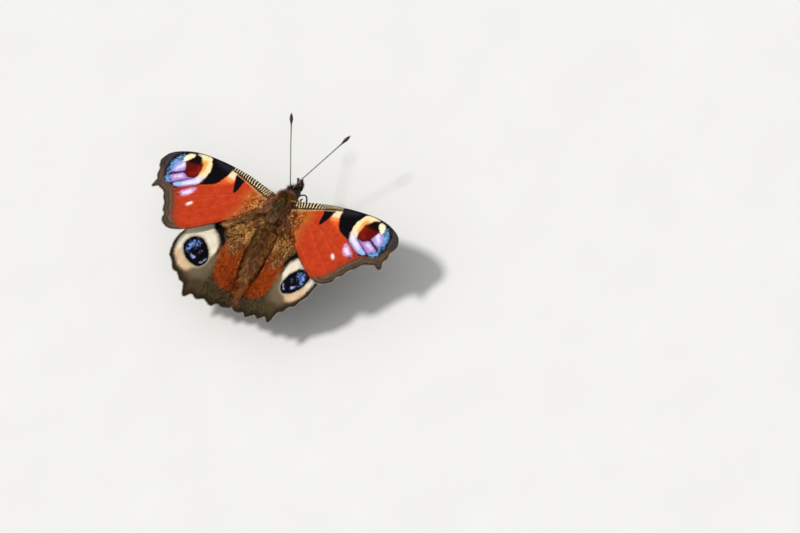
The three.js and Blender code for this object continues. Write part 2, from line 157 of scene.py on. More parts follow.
# Wing forms
# The four wings are thin stiff membranes on a fan of hollow veins. A wing is drawn in its own plan,
# in millimetres across from the midline and ahead of the forewing roots, then bowed, turned and raised.
forewing = {
    "root": (2.8, 0, 0), "raise": 1.75, "pitch": 1.0, "turn": 0.9,
    "costa": [(1.3, 0.5), (5.6, 1.3), (10.9, 2.45), (16, 3.05), (21, 3.3), (25.2, 3.1), (28.6, 2.2),
              (31.2, 0.8), (32.3, -1)],
    "margin": [(32.3, -1), (31.9, -2.3), (31.4, -2.9), (31.3, -4.2), (30.8, -5.2), (31.1, -7), (29.7, -6.5),
               (28.6, -6.85), (27.5, -7.15), (26.3, -8.6), (25.1, -9.9), (24.5, -11.3), (23.5, -12.2),
               (23.3, -13.3), (22.2, -14.3), (20.6, -14.8), (19.2, -14.6)],
    "inner": [(1.3, -2.6), (4, -4.2), (9.5, -8.6), (14, -11.9), (17, -13.7), (19.2, -14.6)],
    "veins": [
        [(2.3, 0.2), (8, 1.3), (14, 2.2), (18.6, 2.75)],
        [(2.3, -0.4), (8, 0.4), (13.5, 1), (18, 1.75), (22.8, 2.7)],
        [(12.5, 0.8), (18, 0.9), (24, 1.3), (29.6, 1.1)],
        [(19, 0.85), (25.5, 0.3), (31.4, -1.4)],
        [(15, 0.4), (23, -1.3), (30.7, -4.1)],
        [(15.6, -0.6), (22.5, -2.8), (27.5, -4.9), (30.5, -6.4)],
        [(15.2, -2), (21, -4), (27.6, -6.7)],
        [(2.3, -1.2), (7, -1.9), (11.5, -3), (15, -4.3), (25.7, -8.6)],
        [(15.7, 0.3), (15.6, -1.4), (15, -4.2)],
        [(12, -3.2), (18, -6.8), (23.8, -11)],
        [(8.4, -2.3), (15, -7.8), (22.5, -13.1)],
        [(2.4, -2), (8, -6.2), (14, -10.6), (19.6, -14)],
    ],
}
hindwing = {
    "root": (2.2, -4.5, -1.4), "raise": 9.0, "pitch": 8.7, "turn": 3.7,
    "costa": [(0.9, -1.7), (5.5, -2.8), (10.5, -5.2), (15, -8.1), (17.6, -10.6), (18.8, -13.2)],
    "margin": [(18.8, -13.2), (19.25, -15.2), (19.0, -16.8), (18.6, -18.4), (17.4, -19.7), (16.5, -21.1),
               (15.2, -21.5), (14, -22.75), (12.8, -23.3), (11.6, -25.8), (10.1, -24.75), (8.5, -25.4),
               (6.8, -24.9), (5, -25.75), (3.7, -24.95), (2, -25.2)],
    "fold": [(1.7, -4.6), (2.9, -7), (3, -10), (2.95, -13), (2.6, -16.2), (2.15, -20), (2, -25.2)],
    "anal_end": [(2, -25.2), (1.4, -25.15), (0.8, -24.95), (0.3, -24.65), (-0.06, -24.3)],
    "inner": [(0.3, -4.4), (-0.3, -6.5), (-0.5, -9), (-0.5, -12.5), (-0.42, -17), (-0.25, -21),
              (-0.06, -24.3)],
    "veins": [
        [(2.6, -3.7), (8, -5.5), (13.5, -8.4), (17.9, -12.6)],
        [(2.6, -4.5), (8, -7.4), (14, -11.8), (18, -17.9)],
        [(9, -8.2), (13.6, -14.4), (16, -20.5)],
        [(8, -9), (11.5, -15.6), (13.7, -22.2)],
        [(7.3, -10.4), (9.6, -17.4), (11.4, -25)],
        [(2.6, -5), (5.2, -7.4), (7.2, -10.4), (8.2, -17.4), (8.4, -24.8)],
        [(5.2, -7.6), (5.6, -14), (5, -25.1)],
        [(3.1, -6.2), (3.6, -11), (3.4, -17), (2.3, -24.6)],
    ],
}
membrane_half_thickness = (0.07, 0.035)  # at the root and at the margin
vein_height, vein_half_width = 0.1, 0.22
sag_between_veins, sag_reach = 0.07, 1.4


def smooth_step(start, end, value):
    """Rises softly from 0 to 1 as the value goes from the start to the end."""
    share = np.clip((value - start) / (end - start), 0, 1)
    return share * share * (3 - 2 * share)


def curve_through(points, shares, closed=False):
    """Points of a smooth curve through the given ones, at shares of the way along them."""
    points = np.asarray(points, float)
    spans = len(points) if closed else len(points) - 1
    along = np.asarray(shares, float) * spans
    first = np.minimum(along.astype(int), spans - 1)
    t = (along - first)[:, None]
    index = [first + step for step in (-1, 0, 1, 2)]
    index = [i % len(points) if closed else np.clip(i, 0, len(points) - 1) for i in index]
    before, start, end, after = (points[i] for i in index)
    leaving, arriving = (end - before) / 2, (after - start) / 2
    bend = 2 * start - 2 * end + leaving + arriving
    return bend * t ** 3 + (3 * end - 3 * start - 2 * leaving - arriving) * t ** 2 + leaving * t + start


def evenly_along(points, shares):
    """The same curve, read at shares of its length."""
    fine = np.linspace(0, 1, 401)
    steps = np.linalg.norm(np.diff(curve_through(points, fine), axis=0), axis=1)
    lengths = np.concatenate([[0], np.cumsum(steps)])
    return curve_through(points, np.interp(np.asarray(shares) * lengths[-1], lengths, fine))


def distance_to(route, plan, closed=False):
    """How far each plan point is from a smooth route, and whether it lies inside a closed one."""
    line = curve_through(route, np.linspace(0, 1, 8 * len(route) + 1), closed)
    nearest = np.full(len(plan), np.inf)
    inside = np.zeros(len(plan), bool)
    for start, end in zip(line[:-1], line[1:]):
        step = end - start
        away = plan - start
        share = np.clip(away @ step / max(step @ step, 1e-9), 0, 1)
        nearest = np.minimum(nearest, np.hypot(*(away - share[:, None] * step).T))
        if closed and step[1] != 0:
            crossed = (start[1] > plan[:, 1]) != (end[1] > plan[:, 1])
            inside ^= crossed & (away[:, 0] < away[:, 1] * step[0] / step[1])
    return nearest, inside


def forewing_height(across, ahead):
    """The rear edge bows up a little, and the margin droops round its tooth."""
    droop = 1.2 * np.maximum(0, (across - 22) / 10) ** 2 * np.exp(-((ahead + 7) / 4) ** 2)
    return 0.4 * (ahead / 14) ** 2 - droop


def hindwing_height(across, ahead):
    """The front bows down under the forewing, and the inner part forms the groove for the abdomen."""
    drop = 0.7 * smooth_step(-4, 2, ahead + 4 + 0.65 * (across - 3))
    half_width = 3.3 * (1 - 0.45 * smooth_step(-13, -24, ahead))
    depth = 2.7 * (1 - smooth_step(-12, -23.5, ahead)) * smooth_step(-5, -8, ahead)
    return -drop - depth * (1 - np.minimum(1, np.abs(across) / half_width) ** 3)


forewing["height"] = forewing_height
hindwing["height"] = hindwing_height


def veins_above(wing, plan):
    """How far the membrane stands above its smooth sheet: up on the veins, and down midway between them."""
    nearest = np.min([distance_to(vein, plan)[0] for vein in wing["veins"]], axis=0)
    ridge = vein_height * np.exp(-(nearest / vein_half_width) ** 2)
    return ridge - sag_between_veins * smooth_step(0, sag_reach, nearest)


def wing_patch(front_edge, rear_edge, margin, rows, columns):
    """A grid of plan points from the root to the margin, between a front and a rear edge."""
    outward = np.linspace(0, 1, rows + 1)
    across = np.linspace(0, 1, columns + 1)
    front = evenly_along(front_edge, outward)
    rear = evenly_along(rear_edge, outward)
    edge = curve_through(margin, across)
    between = front[:, None] * (1 - across[None, :, None]) + rear[:, None] * across[None, :, None]
    return between + (edge - between[-1])[None] * (outward ** 3)[:, None, None]


def wing_place(wing, side, plan, up):
    """Puts plan points of the right (1) or left (-1) wing, at a height off its sheet, into the frame."""
    across, ahead = plan.T
    step = 0.05
    height = wing["height"]
    slope = np.stack([
        (height(across - step, ahead) - height(across + step, ahead)) / (2 * step),
        (height(across, ahead - step) - height(across, ahead + step)) / (2 * step),
        np.ones(len(plan)),
    ], 1)
    slope /= np.linalg.norm(slope, axis=1)[:, None]
    local = np.column_stack([across, ahead, height(across, ahead)]) + slope * np.asarray(up).reshape(-1, 1)
    flat_root = np.array(wing["root"]) * (side, 1, 0)
    turn = Matrix.Rotation(math.radians(wing["pitch"]), 3, "X")
    turn = turn @ Matrix.Rotation(math.radians(-wing["raise"] * side), 3, "Y")
    turn = turn @ Matrix.Rotation(math.radians(wing["turn"]), 3, "Z")
    turned = (local * (side, 1, 1) - flat_root) @ np.array(turn).T
    return turned + flat_root + (0, 0, wing["root"][2]) + roots


def make_piece(name, points, faces, materials, stands_for=(), values=(), face_materials=None,
               patches=None):
    """A smooth mesh from points in millimetres, with named values at its points, that rides on the body.
    Patches are the places of the points on the unwrapped skin."""
    mesh = bpy.data.meshes.new(name)
    mesh.from_pydata((np.asarray(points) * mm).tolist(), [], [list(face) for face in faces])
    for material in materials:
        mesh.materials.append(material)
    if face_materials is not None:
        mesh.polygons.foreach_set("material_index", np.asarray(face_materials, np.int32))
    for key, data in dict(values).items():
        data = np.asarray(data, np.float32)
        kind, field = ("FLOAT", "value") if data.ndim == 1 else ("FLOAT_VECTOR", "vector")
        mesh.attributes.new(key, kind, "POINT").data.foreach_set(field, data.ravel())
    if patches is not None:
        corners = np.empty(len(mesh.loops), np.int32)
        mesh.loops.foreach_get("vertex_index", corners)
        places = np.asarray(patches, np.float32)[corners]
        mesh.uv_layers.new(name="OFBake").data.foreach_set("uv", places.ravel())
    mesh.shade_smooth()
    made = bpy.data.objects.new(name, mesh)
    bpy.context.scene.collection.objects.link(made)
    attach(made, "root")
    if stands_for:
        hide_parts(*stands_for)
    return made


def grid_faces(rows, columns, first=0):
    """Four-sided faces over a grid of points, row by row."""
    r, c = np.meshgrid(np.arange(rows - 1), np.arange(columns - 1), indexing="ij")
    corner = (first + r * columns + c).ravel()
    return np.stack([corner, corner + 1, corner + columns + 1, corner + columns], 1)


def make_wing(name, wing, side, grid, materials, node, marks):
    """A membrane with an upper and a lower face, joined round its edge. Its points know their place in the
    plan, how far they are from the outer margin, and how deep they lie inside each mark."""
    rows, columns = grid.shape[:2]
    plan = grid.reshape(-1, 2)
    outward = np.repeat(np.linspace(0, 1, rows), columns)
    half = membrane_half_thickness[0] + (membrane_half_thickness[1] - membrane_half_thickness[0]) * outward
    relief = veins_above(wing, plan)
    points = np.concatenate([wing_place(wing, side, plan, relief + up) for up in (half, -half)])
    upper = grid_faces(rows, columns)
    lower = grid_faces(rows, columns, rows * columns)[:, ::-1]
    ring = np.concatenate([
        np.arange(columns), np.arange(1, rows) * columns + columns - 1,
        (rows - 1) * columns + np.arange(columns - 2, -1, -1), np.arange(rows - 2, 0, -1) * columns,
    ])
    following = np.roll(ring, -1)
    rim = np.stack([following, ring, ring + rows * columns, following + rows * columns], 1)
    faces = np.concatenate([upper, lower, rim])
    if side > 0:
        faces = faces[:, ::-1]
    values = {mark: depth_in(shape, plan) for mark, shape in marks.items() if "like" not in shape}
    values["from_margin"] = distance_to(grid[-1][::4], plan)[0]
    values["on_vein"] = (relief + sag_between_veins) / (vein_height + sag_between_veins)
    values = {key: np.tile(value, 2) for key, value in values.items()}
    values["plan"] = np.tile(np.column_stack([plan, np.zeros(len(plan))]), (2, 1))
    kinds = np.repeat([0, 1], [len(upper), len(lower) + len(rim)])
    return make_piece(name, points, faces, materials, [node], values, kinds)


def depth_in(shape, plan):
    """How deep plan points lie inside a mark: a closed outline, or a route with a half width at its ends."""
    if "route" in shape:
        nearest, _ = distance_to(shape["route"], plan)
        start, end = np.asarray(shape["route"][0]), np.asarray(shape["route"][-1])
        along = np.clip((plan - start) @ (end - start) / ((end - start) @ (end - start)), 0, 1)
        return shape["width"][0] + (shape["width"][1] - shape["width"][0]) * along - nearest
    nearest, inside = distance_to(shape["outline"], plan, closed=True)
    return np.where(inside, nearest, -nearest)


def marked_colour(ground, marks, plan):
    """The colour that marks give to the hair at plan points, laid over a ground colour."""
    colour = np.tile(linear(ground)[:3], (len(plan), 1))
    for mark in marks.values():
        if "like" not in mark:
            share = smooth_step(-mark["soft"], mark["soft"], depth_in(mark, plan))[:, None]
            colour = colour * (1 - share) + np.array(linear(mark["colour"])[:3]) * share
    return colour


# Forewings
# Brick red scales over the membrane, powdery and matt. Black, cream, maroon, lilac and sky blue scales make
# the marks, and where two colours meet their scales mix, so that the edges are ragged.
forewing_marks = {  # outlines, or routes with half widths, drawn in plan, the later ones over the earlier
    "brown_border": {"colour": "#513F34", "soft": 0.25, "ragged": 0.45,
        "outline": [(22.5, 3.5), (24, 2.3), (26.5, 1.9), (28.6, 1.1), (29.3, 0), (29.5, -1.5),
            (29.4, -3), (28.9, -4.3), (28, -4.9), (26.8, -5.4), (25.6, -6), (24.7, -6.7), (23.9, -7.8),
            (23, -9), (22.3, -10), (21.7, -11.2), (20.9, -12.3), (19.7, -13.2), (18.4, -13.8),
            (16.9, -14), (16, -15.5), (20, -17), (26, -14), (30, -9.5), (34.5, -8), (34.5, 0),
            (30.5, 4.2)]},
    "smoky_apex": {"colour": "#3D3738", "soft": 0.5, "ragged": 0.4,
        "outline": [(26, 3.6), (29, 2.9), (31.5, 1.6), (33, -0.3), (33, -2), (31, -2.6), (30.4, -1),
            (29.6, 0.8), (28, 2)]},
    "tan_band": {"colour": "#6E553F", "soft": 0.5, "ragged": 0.5, "width": (0.3, 0.45),
        "route": [(30.4, -3.4), (29.7, -5.1), (27.8, -6.1), (26.1, -6.9), (24.7, -8.4), (23.5, -10.1),
            (22.5, -11.8), (21.1, -13.2), (19.5, -14)]},
    "deep_red_edge": {"colour": "#A2371B", "soft": 0.9, "ragged": 0.9, "width": (0.2, 0.5),
        "route": [(24.2, -6.6), (22.9, -8.6), (21.8, -10.5), (20.4, -12.3), (18.4, -13.3), (15, -12.6),
            (11, -9.7)]},
    "orange_base": {"colour": "#B85926", "soft": 1.6, "ragged": 0.5,
        "outline": [(-1, 3), (4, 0.4), (8, 0.3), (9.2, -2), (8.8, -5), (9.6, -8.7), (7, -12), (-1, -9)]},
    "orange_glow": {"colour": "#E2592A", "soft": 0.6, "ragged": 0.2,
        "outline": [(13.2, 0.3), (15.5, 0.3), (16.1, -1), (17, -2.1), (15.7, -1.7), (14.3, -1.1),
            (13.3, -0.7)]},
    "orange_bar": {"colour": "#F08C42", "soft": 0.35, "ragged": 0.2,
        "outline": [(13.3, 0.6), (15.2, 0.6), (15.6, -0.2), (14.8, -0.5), (13.5, -0.4)]},
    "cream_bar": {"colour": "#EEDDB4", "soft": 0.3, "ragged": 0.2,
        "outline": [(13.4, 3.2), (15.1, 3.2), (15.2, 1.4), (15.35, 0.6), (14.6, 0.3), (13.5, 0.35),
            (13.4, 1.2)]},
    "black_wedge": {"colour": "#0D090D", "soft": 0.12, "ragged": 0.15,
        "outline": [(10.7, 1.05), (11.9, 1.4), (13.5, 1.75), (13.35, 0.9), (13.05, -0.1), (12.6, -1.2),
            (12.1, -2.1), (11.7, -2.35), (11.35, -1.9), (11.2, -0.9), (11.1, 0.15), (10.85, 0.6)]},
    "black_patch": {"colour": "#0B080B", "soft": 0.12, "ragged": 0.15,
        "outline": [(15, 3.6), (15.25, 1.8), (15.35, 0.8), (15.85, -0.3), (16.35, -1.3), (17, -2),
            (17.9, -2.5), (19, -2.95), (20.2, -3.4), (21.3, -3.95), (21.1, -2.4), (20.7, -0.5),
            (20.8, 1.4), (21.6, 2.7), (22.2, 3.8), (18, 4)]},
    # Painted sheen: a faint bluish grey gloss laid in colour over the front of the black patch.
    "painted_sheen_front": {"colour": "#262128", "soft": 0.7, "ragged": 0.3,
        "outline": [(15.5, 2.7), (19.8, 3.1), (19, 2.3), (17, 1.7), (15.6, 1.6)]},
    "eyespot_ground": {"colour": "#100F16", "soft": 0.12, "ragged": 0.25,
        "outline": [(21.4, 3.1), (24.5, 2.9), (26.6, 2.6), (28.3, 2.1), (29.4, 1.2), (30, -0.2),
            (30.2, -1.9), (29.95, -3.4), (29.3, -4.7), (28.3, -5.35), (27.2, -5.45), (26.4, -5.65),
            (25.4, -6), (24.5, -5.8), (23.8, -5.25), (22.6, -4.6), (21.2, -3.85), (20.4, -2.6),
            (20, -1.5), (19.8, -0.4), (19.85, 0.5), (20.2, 1.4), (20.7, 2.2)]},
    "crescent": {"colour": "#F6E2AC", "soft": 0.15, "ragged": 0.15,
        "outline": [(21.5, 3.05), (20.7, 2.2), (20.2, 1.4), (19.85, 0.5), (19.8, -0.4), (20.05, -1.5),
            (20.5, -2.6), (21, -3.3), (22, -2.9), (21.95, -2.2), (21.85, -1.4), (21.95, -0.6),
            (22.05, 0.1), (22.3, 0.8), (22.8, 1.35), (23.3, 1.8), (23.7, 2.3), (24.9, 2.6), (24.4, 2.95)]},
    "crescent_orange": {"colour": "#F3A548", "soft": 0.4, "ragged": 0.2,
        "outline": [(21.6, 1.9), (21.2, 0.4), (21.3, -0.9), (21.8, -1.6), (22.1, 0), (22.5, 0.9),
            (23.2, 1.7)]},
    "crescent_pale": {"colour": "#EEDBDA", "soft": 0.5, "ragged": 0.2,
        "outline": [(20.1, -1.4), (20.5, -2.7), (21.3, -3.7), (22.1, -2.9), (21.8, -1.9), (21, -1.4)]},
    "lilac_rear": {"colour": "#B5A2DF", "soft": 0.2, "ragged": 0.3,
        "outline": [(20.7, -3), (21.9, -2.5), (23.2, -3.1), (24.8, -4.15), (26.2, -4.95), (25.8, -5.5),
            (24.6, -5.45), (23.2, -4.85), (21.6, -3.95)]},
    "white_rear": {"colour": "#ECE6F8", "soft": 0.5, "ragged": 0.35, "width": (0.5, 0.3),
        "route": [(21.3, -2.95), (22.8, -3.8), (24, -4.5)]},
    "sky_rear": {"colour": "#8FC6EC", "soft": 0.3, "ragged": 0.3,
        "outline": [(24.4, -4.5), (25.5, -4.6), (26.1, -5.05), (25.5, -5.5), (24.5, -5.2)]},
    "lilac_middle": {"colour": "#B68CCD", "soft": 0.2, "ragged": 0.35,
        "outline": [(22.8, -2.6), (24, -2.8), (25.3, -2.2), (26.6, -2.75), (28.2, -3.7), (27.5, -4.3),
            (26.8, -4.8), (25.4, -4.1), (24, -3.35)]},
    "white_middle": {"colour": "#EBDDF2", "soft": 0.4, "ragged": 0.4, "width": (0.3, 0.2),
        "route": [(25.5, -3.05), (26.2, -3.3), (26.9, -3.65)]},
    "lilac_front": {"colour": "#B398DA", "soft": 0.2, "ragged": 0.4,
        "outline": [(25.5, -1.4), (26.1, -0.2), (27, 0.5), (27.9, 0), (28.6, -1.4), (28.5, -2.7),
            (27.4, -2.6), (26.3, -2.1)]},
    "white_front": {"colour": "#ECE8F8", "soft": 0.45, "ragged": 0.35, "width": (0.4, 0.25),
        "route": [(26.5, -0.5), (27, -1), (27.6, -1.7)]},
    "blue_arc": {"colour": "#72ADE4", "soft": 0.2, "ragged": 0.9, "gaps": 0.34,
        "outline": [(27.3, 1.4), (28.2, 1.2), (29, 0.3), (29.4, -1), (29.4, -2.5), (28.9, -3.5),
            (28.4, -3.5), (28.3, -2.3), (28.1, -1), (27.6, 0)]},
    "blue_corner": {"colour": "#78A6E0", "soft": 0.2, "ragged": 0.6, "gaps": 0.24,
        "outline": [(27, -4.7), (28.1, -4), (28.95, -3.9), (29, -4.5), (28.4, -5.05), (27.5, -5.2)]},
    "maroon_disc": {"colour": "#640E09", "soft": 0.3, "ragged": 0.3,
        "outline": [(22.3, 1.1), (22.05, 0.1), (21.95, -0.9), (22.05, -1.9), (22.8, -2.35), (23.8, -2.5),
            (24.9, -2.25), (25.5, -1.4), (26, -0.5), (26.3, 0.3), (25.8, 1), (24.8, 1.3), (23.4, 1.3)]},
    "maroon_glow": {"colour": "#86190D", "soft": 0.6, "ragged": 0.35, "width": (0.4, 0.4),
        "route": [(22.6, -0.1), (22.7, -1.2), (23.6, -1.8)]},
    "disc_cap": {"colour": "#140707", "soft": 0.35, "ragged": 0.45,
        "outline": [(22.9, 1.2), (23.3, 1.9), (24, 2.45), (25.2, 2.45), (25.7, 1.3), (26.1, 0.6),
            (25.2, 0.3), (24.2, 0.5), (23.4, 0.6)]},
    "vein_rear": {"colour": "#7E1F2A", "soft": 0.12, "ragged": 0.15, "width": (0.12, 0.2),
        "route": [(20.6, -3.9), (22.2, -4.85), (23.9, -5.9), (24.6, -6.6)]},
    "vein_middle": {"colour": "#8A4E86", "soft": 0.12, "ragged": 0.2, "width": (0.09, 0.07),
        "route": [(22.5, -2.5), (24.2, -3.6), (26.5, -5)]},
    "vein_front": {"colour": "#4A1C40", "soft": 0.12, "ragged": 0.2, "width": (0.11, 0.09),
        "route": [(25.3, -1.9), (26.9, -2.75), (28.8, -3.75)]},
    "cream_spot": {"colour": "#F6EEC2", "soft": 0.15, "ragged": 0.2,
        "outline": [(25.4, 2.4), (26.5, 2.3), (27.15, 1.7), (27.4, 0.9), (27.2, 0.2), (26.6, 0.4),
            (25.9, 1), (25.35, 1.7)]},
    "lilac_patch": {"colour": "#CF9CCB", "soft": 0.3, "ragged": 0.4,
        "outline": [(20.4, -4.4), (21.3, -4.6), (22.4, -5.3), (23.4, -6.3), (23.5, -6.9), (22.9, -7.1),
            (21.8, -6.9), (21, -6.2), (20.5, -5.2)]},
    "white_in_patch": {"colour": "#F1E6F6", "soft": 0.4, "ragged": 0.35, "width": (0.4, 0.2),
        "route": [(21.4, -5.6), (21.8, -5.9), (22.6, -6.4)]},
    "plum_in_patch": {"colour": "#5A2A3C", "soft": 0.25, "ragged": 0.4, "width": (0.1, 0.25),
        "route": [(23, -6.7), (23.2, -6.9), (23.4, -7.1)]},
    "dot_halo": {"colour": "#DE8474", "soft": 0.3, "ragged": 0.2, "width": (0.42, 0.42),
        "route": [(19.3, -7.8), (19.65, -8.15), (20, -8.5)]},
    "white_dot": {"colour": "#FAEEF2", "soft": 0.2, "ragged": 0.15, "width": (0.26, 0.24),
        "route": [(19.4, -7.9), (19.65, -8.15), (19.9, -8.4)]},
    "golden_front": {"colour": "#BA6022", "soft": 0.9, "ragged": 0.7,
        "outline": [(4.8, -0.8), (6.2, -0.7), (8.2, -1.2), (8.6, -2.4), (7.4, -3.6), (4.8, -3)]},
    "golden_base": {"colour": "#75461E", "soft": 1.1, "ragged": 0.9,
        "outline": [(-1, 1), (3.2, 0.2), (4, -1.4), (4.6, -3), (5.6, -4.5), (6.7, -6.2), (7.4, -8),
            (6, -11), (-1, -8)]},
    "cream_line": {"colour": "#BE9660", "soft": 0.12, "ragged": 0.3, "width": (0.18, 0.06),
        "route": [(2.8, -1.35), (5.5, -0.75), (8, 0), (10.5, 0.8), (13.2, 1.55)]},
    "costa_band": {"colour": "#130F0D", "soft": 0.1, "ragged": 0.15,
        "outline": [(1.5, -1.2), (3.5, -0.95), (5.5, -0.45), (8, 0.25), (10.5, 1), (13, 1.7), (15, 2.1),
            (15.2, 4), (8, 4), (0, 3)]},
    "brown_root": {"colour": "#8A603E", "soft": 0.5, "ragged": 0.5,
        "outline": [(-1, 3), (2.2, 2), (2.9, 0), (3.2, -2), (4, -4), (3.6, -6), (-1, -6)]},
}


def scale_pattern(tree, stretch):
    """The plan's place, fine and coarse unevenness, and a chance for each clump of scales. Real scales are a
    tenth of a millimetre long and too fine to show, so clumps of a few, a seventh wide, are drawn."""
    plan = add(tree, "Attribute", attribute_name="plan")["Vector"]
    drawn = add(tree, "VectorMath", {0: plan, 1: stretch}, operation="MULTIPLY")[0]
    fine = add(tree, "TexNoise", {"Vector": drawn, "Scale": 5.5, "Detail": 2.0})["Fac"]
    coarse = add(tree, "TexNoise", {"Vector": plan, "Scale": 0.7, "Detail": 2.0})["Fac"]
    cells = add(tree, "TexVoronoi", {"Vector": drawn, "Scale": 7.0})["Color"]
    chance = add(tree, "SeparateColor", {0: cells})[0]
    return plan, fine, coarse, chance


def fleck_pattern(tree, plan, stretch):
    """A chance for each fleck of hair-like scales at the wing base, an eighth of a millimetre wide."""
    drawn = add(tree, "VectorMath", {0: plan, 1: stretch}, operation="MULTIPLY")[0]
    flecks = add(tree, "TexVoronoi", {"Vector": drawn, "Scale": 8.0})["Color"]
    return add(tree, "SeparateColor", {0: flecks})[1]


def lay_marks(tree, ground, marks, fine, chance):
    """Lays each mark over the ground colour, with a soft and ragged edge. A mark may be like another's
    outline, grown by a width, and gaps are the share of its scales that are missing."""
    unevenness = add(tree, "Math", {0: fine, 1: 0.5}, operation="SUBTRACT")[0]
    colour = ground
    for name, mark in marks.items():
        depth = add(tree, "Attribute", attribute_name=mark.get("like", name))["Fac"]
        depth = add(tree, "Math", {0: depth, 1: mark.get("grown", 0)}, operation="ADD")[0]
        ragged, soft = mark["ragged"] * 4, mark["soft"]
        depth = add(tree, "Math", {0: unevenness, 1: ragged, 2: depth}, operation="MULTIPLY_ADD")[0]
        share = add(tree, "MapRange", {0: depth, 1: -soft, 2: soft}, interpolation_type="SMOOTHSTEP")[0]
        if "gaps" in mark:
            kept = add(tree, "Math", {0: chance, 1: mark["gaps"]}, operation="GREATER_THAN")[0]
            share = add(tree, "Math", {0: share, 1: kept}, operation="MULTIPLY")[0]
        colour = add(tree, "Mix", {0: share, 6: colour, 7: linear(mark["colour"])}, data_type="RGBA")[2]
    return colour


def sprinkle_flecks(tree, plan, colour, share, stretch, gold_above, gold, gold_most, dark):
    """Sprinkles gold and dark hair-like scales over a share of the surface."""
    flecks = fleck_pattern(tree, plan, stretch)
    sprinkled = add(tree, "Math", {0: flecks, 1: gold_above}, operation="GREATER_THAN")[0]
    gold_share = add(tree, "Math", {0: share, 1: sprinkled}, operation="MULTIPLY")[0]
    gold_share = add(tree, "Math", {0: gold_share, 1: gold_most}, operation="MULTIPLY")[0]
    colour = add(tree, "Mix", {0: gold_share, 6: colour, 7: linear(gold)}, data_type="RGBA")[2]
    dark_ones = add(tree, "Math", {0: flecks, 1: 0.2}, operation="LESS_THAN")[0]
    dark_share = add(tree, "Math", {0: share, 1: dark_ones}, operation="MULTIPLY")[0]
    dark_share = add(tree, "Math", {0: dark_share, 1: 0.6}, operation="MULTIPLY")[0]
    return add(tree, "Mix", {0: dark_share, 6: colour, 7: linear(dark)}, data_type="RGBA")[2]


def finish_scales(tree, shader, colour, fine, coarse, chance, bump):
    """Gives the powdery surface its uneven tone and its grain."""
    tone = add(tree, "Math", {0: fine, 1: coarse}, operation="ADD")[0]
    tone = add(tree, "MapRange", {0: tone, 1: 0.6, 2: 1.4, 3: 0.86, 4: 1.14})[0]
    colour = add(tree, "HueSaturation", {"Color": colour, "Value": tone})["Color"]
    tree.links.new(colour, shader.inputs["Base Color"])
    grain = add(tree, "Math", {0: chance, 1: 0.4, 2: fine}, operation="MULTIPLY_ADD")[0]
    normal = add(tree, "Bump", {"Height": grain, "Strength": bump, "Distance": 0.03 * mm})["Normal"]
    tree.links.new(normal, shader.inputs["Normal"])


# Chitin scales laid like roof tiles: they give the eye a dry, powdery red without any gloss.
red_scales, tree, shader = new_material("red_chitin_scales", Roughness=0.75, Specular_IOR_Level=0.03)
plan, fine, coarse, chance = scale_pattern(tree, (0.55, 1, 1))
ground = add(tree, "Mix", {0: coarse, 6: linear("#AF3317"), 7: linear("#C8421F")}, data_type="RGBA")[2]
on_vein = add(tree, "Attribute", attribute_name="on_vein")["Fac"]
vein_share = add(tree, "MapRange", {0: on_vein, 1: 0.7, 2: 1.0, 4: 0.22})[0]
ground = add(tree, "Mix", {0: vein_share, 6: ground, 7: linear("#DE6A40")}, data_type="RGBA")[2]
colour = lay_marks(tree, ground, forewing_marks, fine, chance)

# Gold and dark scales are sprinkled over the brown base.
base_depth = add(tree, "Attribute", attribute_name="golden_base")["Fac"]
base_share = add(tree, "MapRange", {0: base_depth, 1: -2.2, 2: 0.3}, interpolation_type="SMOOTHSTEP")[0]
colour = sprinkle_flecks(tree, plan, colour, base_share, (0.8, 1, 1), 0.66, "#D9AC6A", 0.75, "#5A3214")

# Cream bars cross the black front edge, slanting near the root.
bar_spacing = 0.66
across, ahead, _ = add(tree, "SeparateXYZ", {0: plan})
lean = add(tree, "MapRange", {0: across, 1: 4.0, 2: 9.0, 3: 0.6, 4: -0.1})[0]
bars = add(tree, "Math", {0: ahead, 1: lean, 2: across}, operation="MULTIPLY_ADD")[0]
wobble = add(tree, "Math", {0: fine, 1: 5.0}, operation="MULTIPLY")[0]
bars = add(tree, "Math", {0: bars, 1: 2 * math.pi / bar_spacing, 2: wobble}, operation="MULTIPLY_ADD")[0]
bars = add(tree, "Math", {0: bars}, operation="SINE")[0]
bars = add(tree, "Math", {0: chance, 1: 0.5, 2: bars}, operation="MULTIPLY_ADD")[0]
bars = add(tree, "MapRange", {0: bars, 1: 0.4, 2: 0.75})[0]
band_depth = add(tree, "Attribute", attribute_name="costa_band")["Fac"]
band_share = add(tree, "MapRange", {0: band_depth, 1: 0.15, 2: 0.4})[0]
bars = add(tree, "Math", {0: bars, 1: band_share}, operation="MULTIPLY")[0]
colour = add(tree, "Mix", {0: bars, 6: colour, 7: linear("#E2D0A2")}, data_type="RGBA")[2]

# The border darkens towards its edge, with a thin dark line inside it.
from_margin = add(tree, "Attribute", attribute_name="from_margin")["Fac"]
from_margin = add(tree, "Math", {0: fine, 1: 0.5, 2: from_margin}, operation="MULTIPLY_ADD")[0]
edge_share = add(tree, "MapRange", {0: from_margin, 1: 0.6, 2: 0.35, 4: 0.85},
                 interpolation_type="SMOOTHSTEP")[0]
line_share = add(tree, "MapRange", {0: from_margin, 1: 1.0, 2: 1.15}, interpolation_type="SMOOTHSTEP")[0]
line_end = add(tree, "MapRange", {0: from_margin, 1: 1.6, 2: 1.3, 4: 0.5},
               interpolation_type="SMOOTHSTEP")[0]
line_share = add(tree, "Math", {0: line_share, 1: line_end}, operation="MULTIPLY")[0]
edge_share = add(tree, "Math", {0: edge_share, 1: line_share}, operation="MAXIMUM")[0]
border_depth = add(tree, "Attribute", attribute_name="brown_border")["Fac"]
in_border = add(tree, "MapRange", {0: border_depth, 1: 0.0, 2: 0.4})[0]
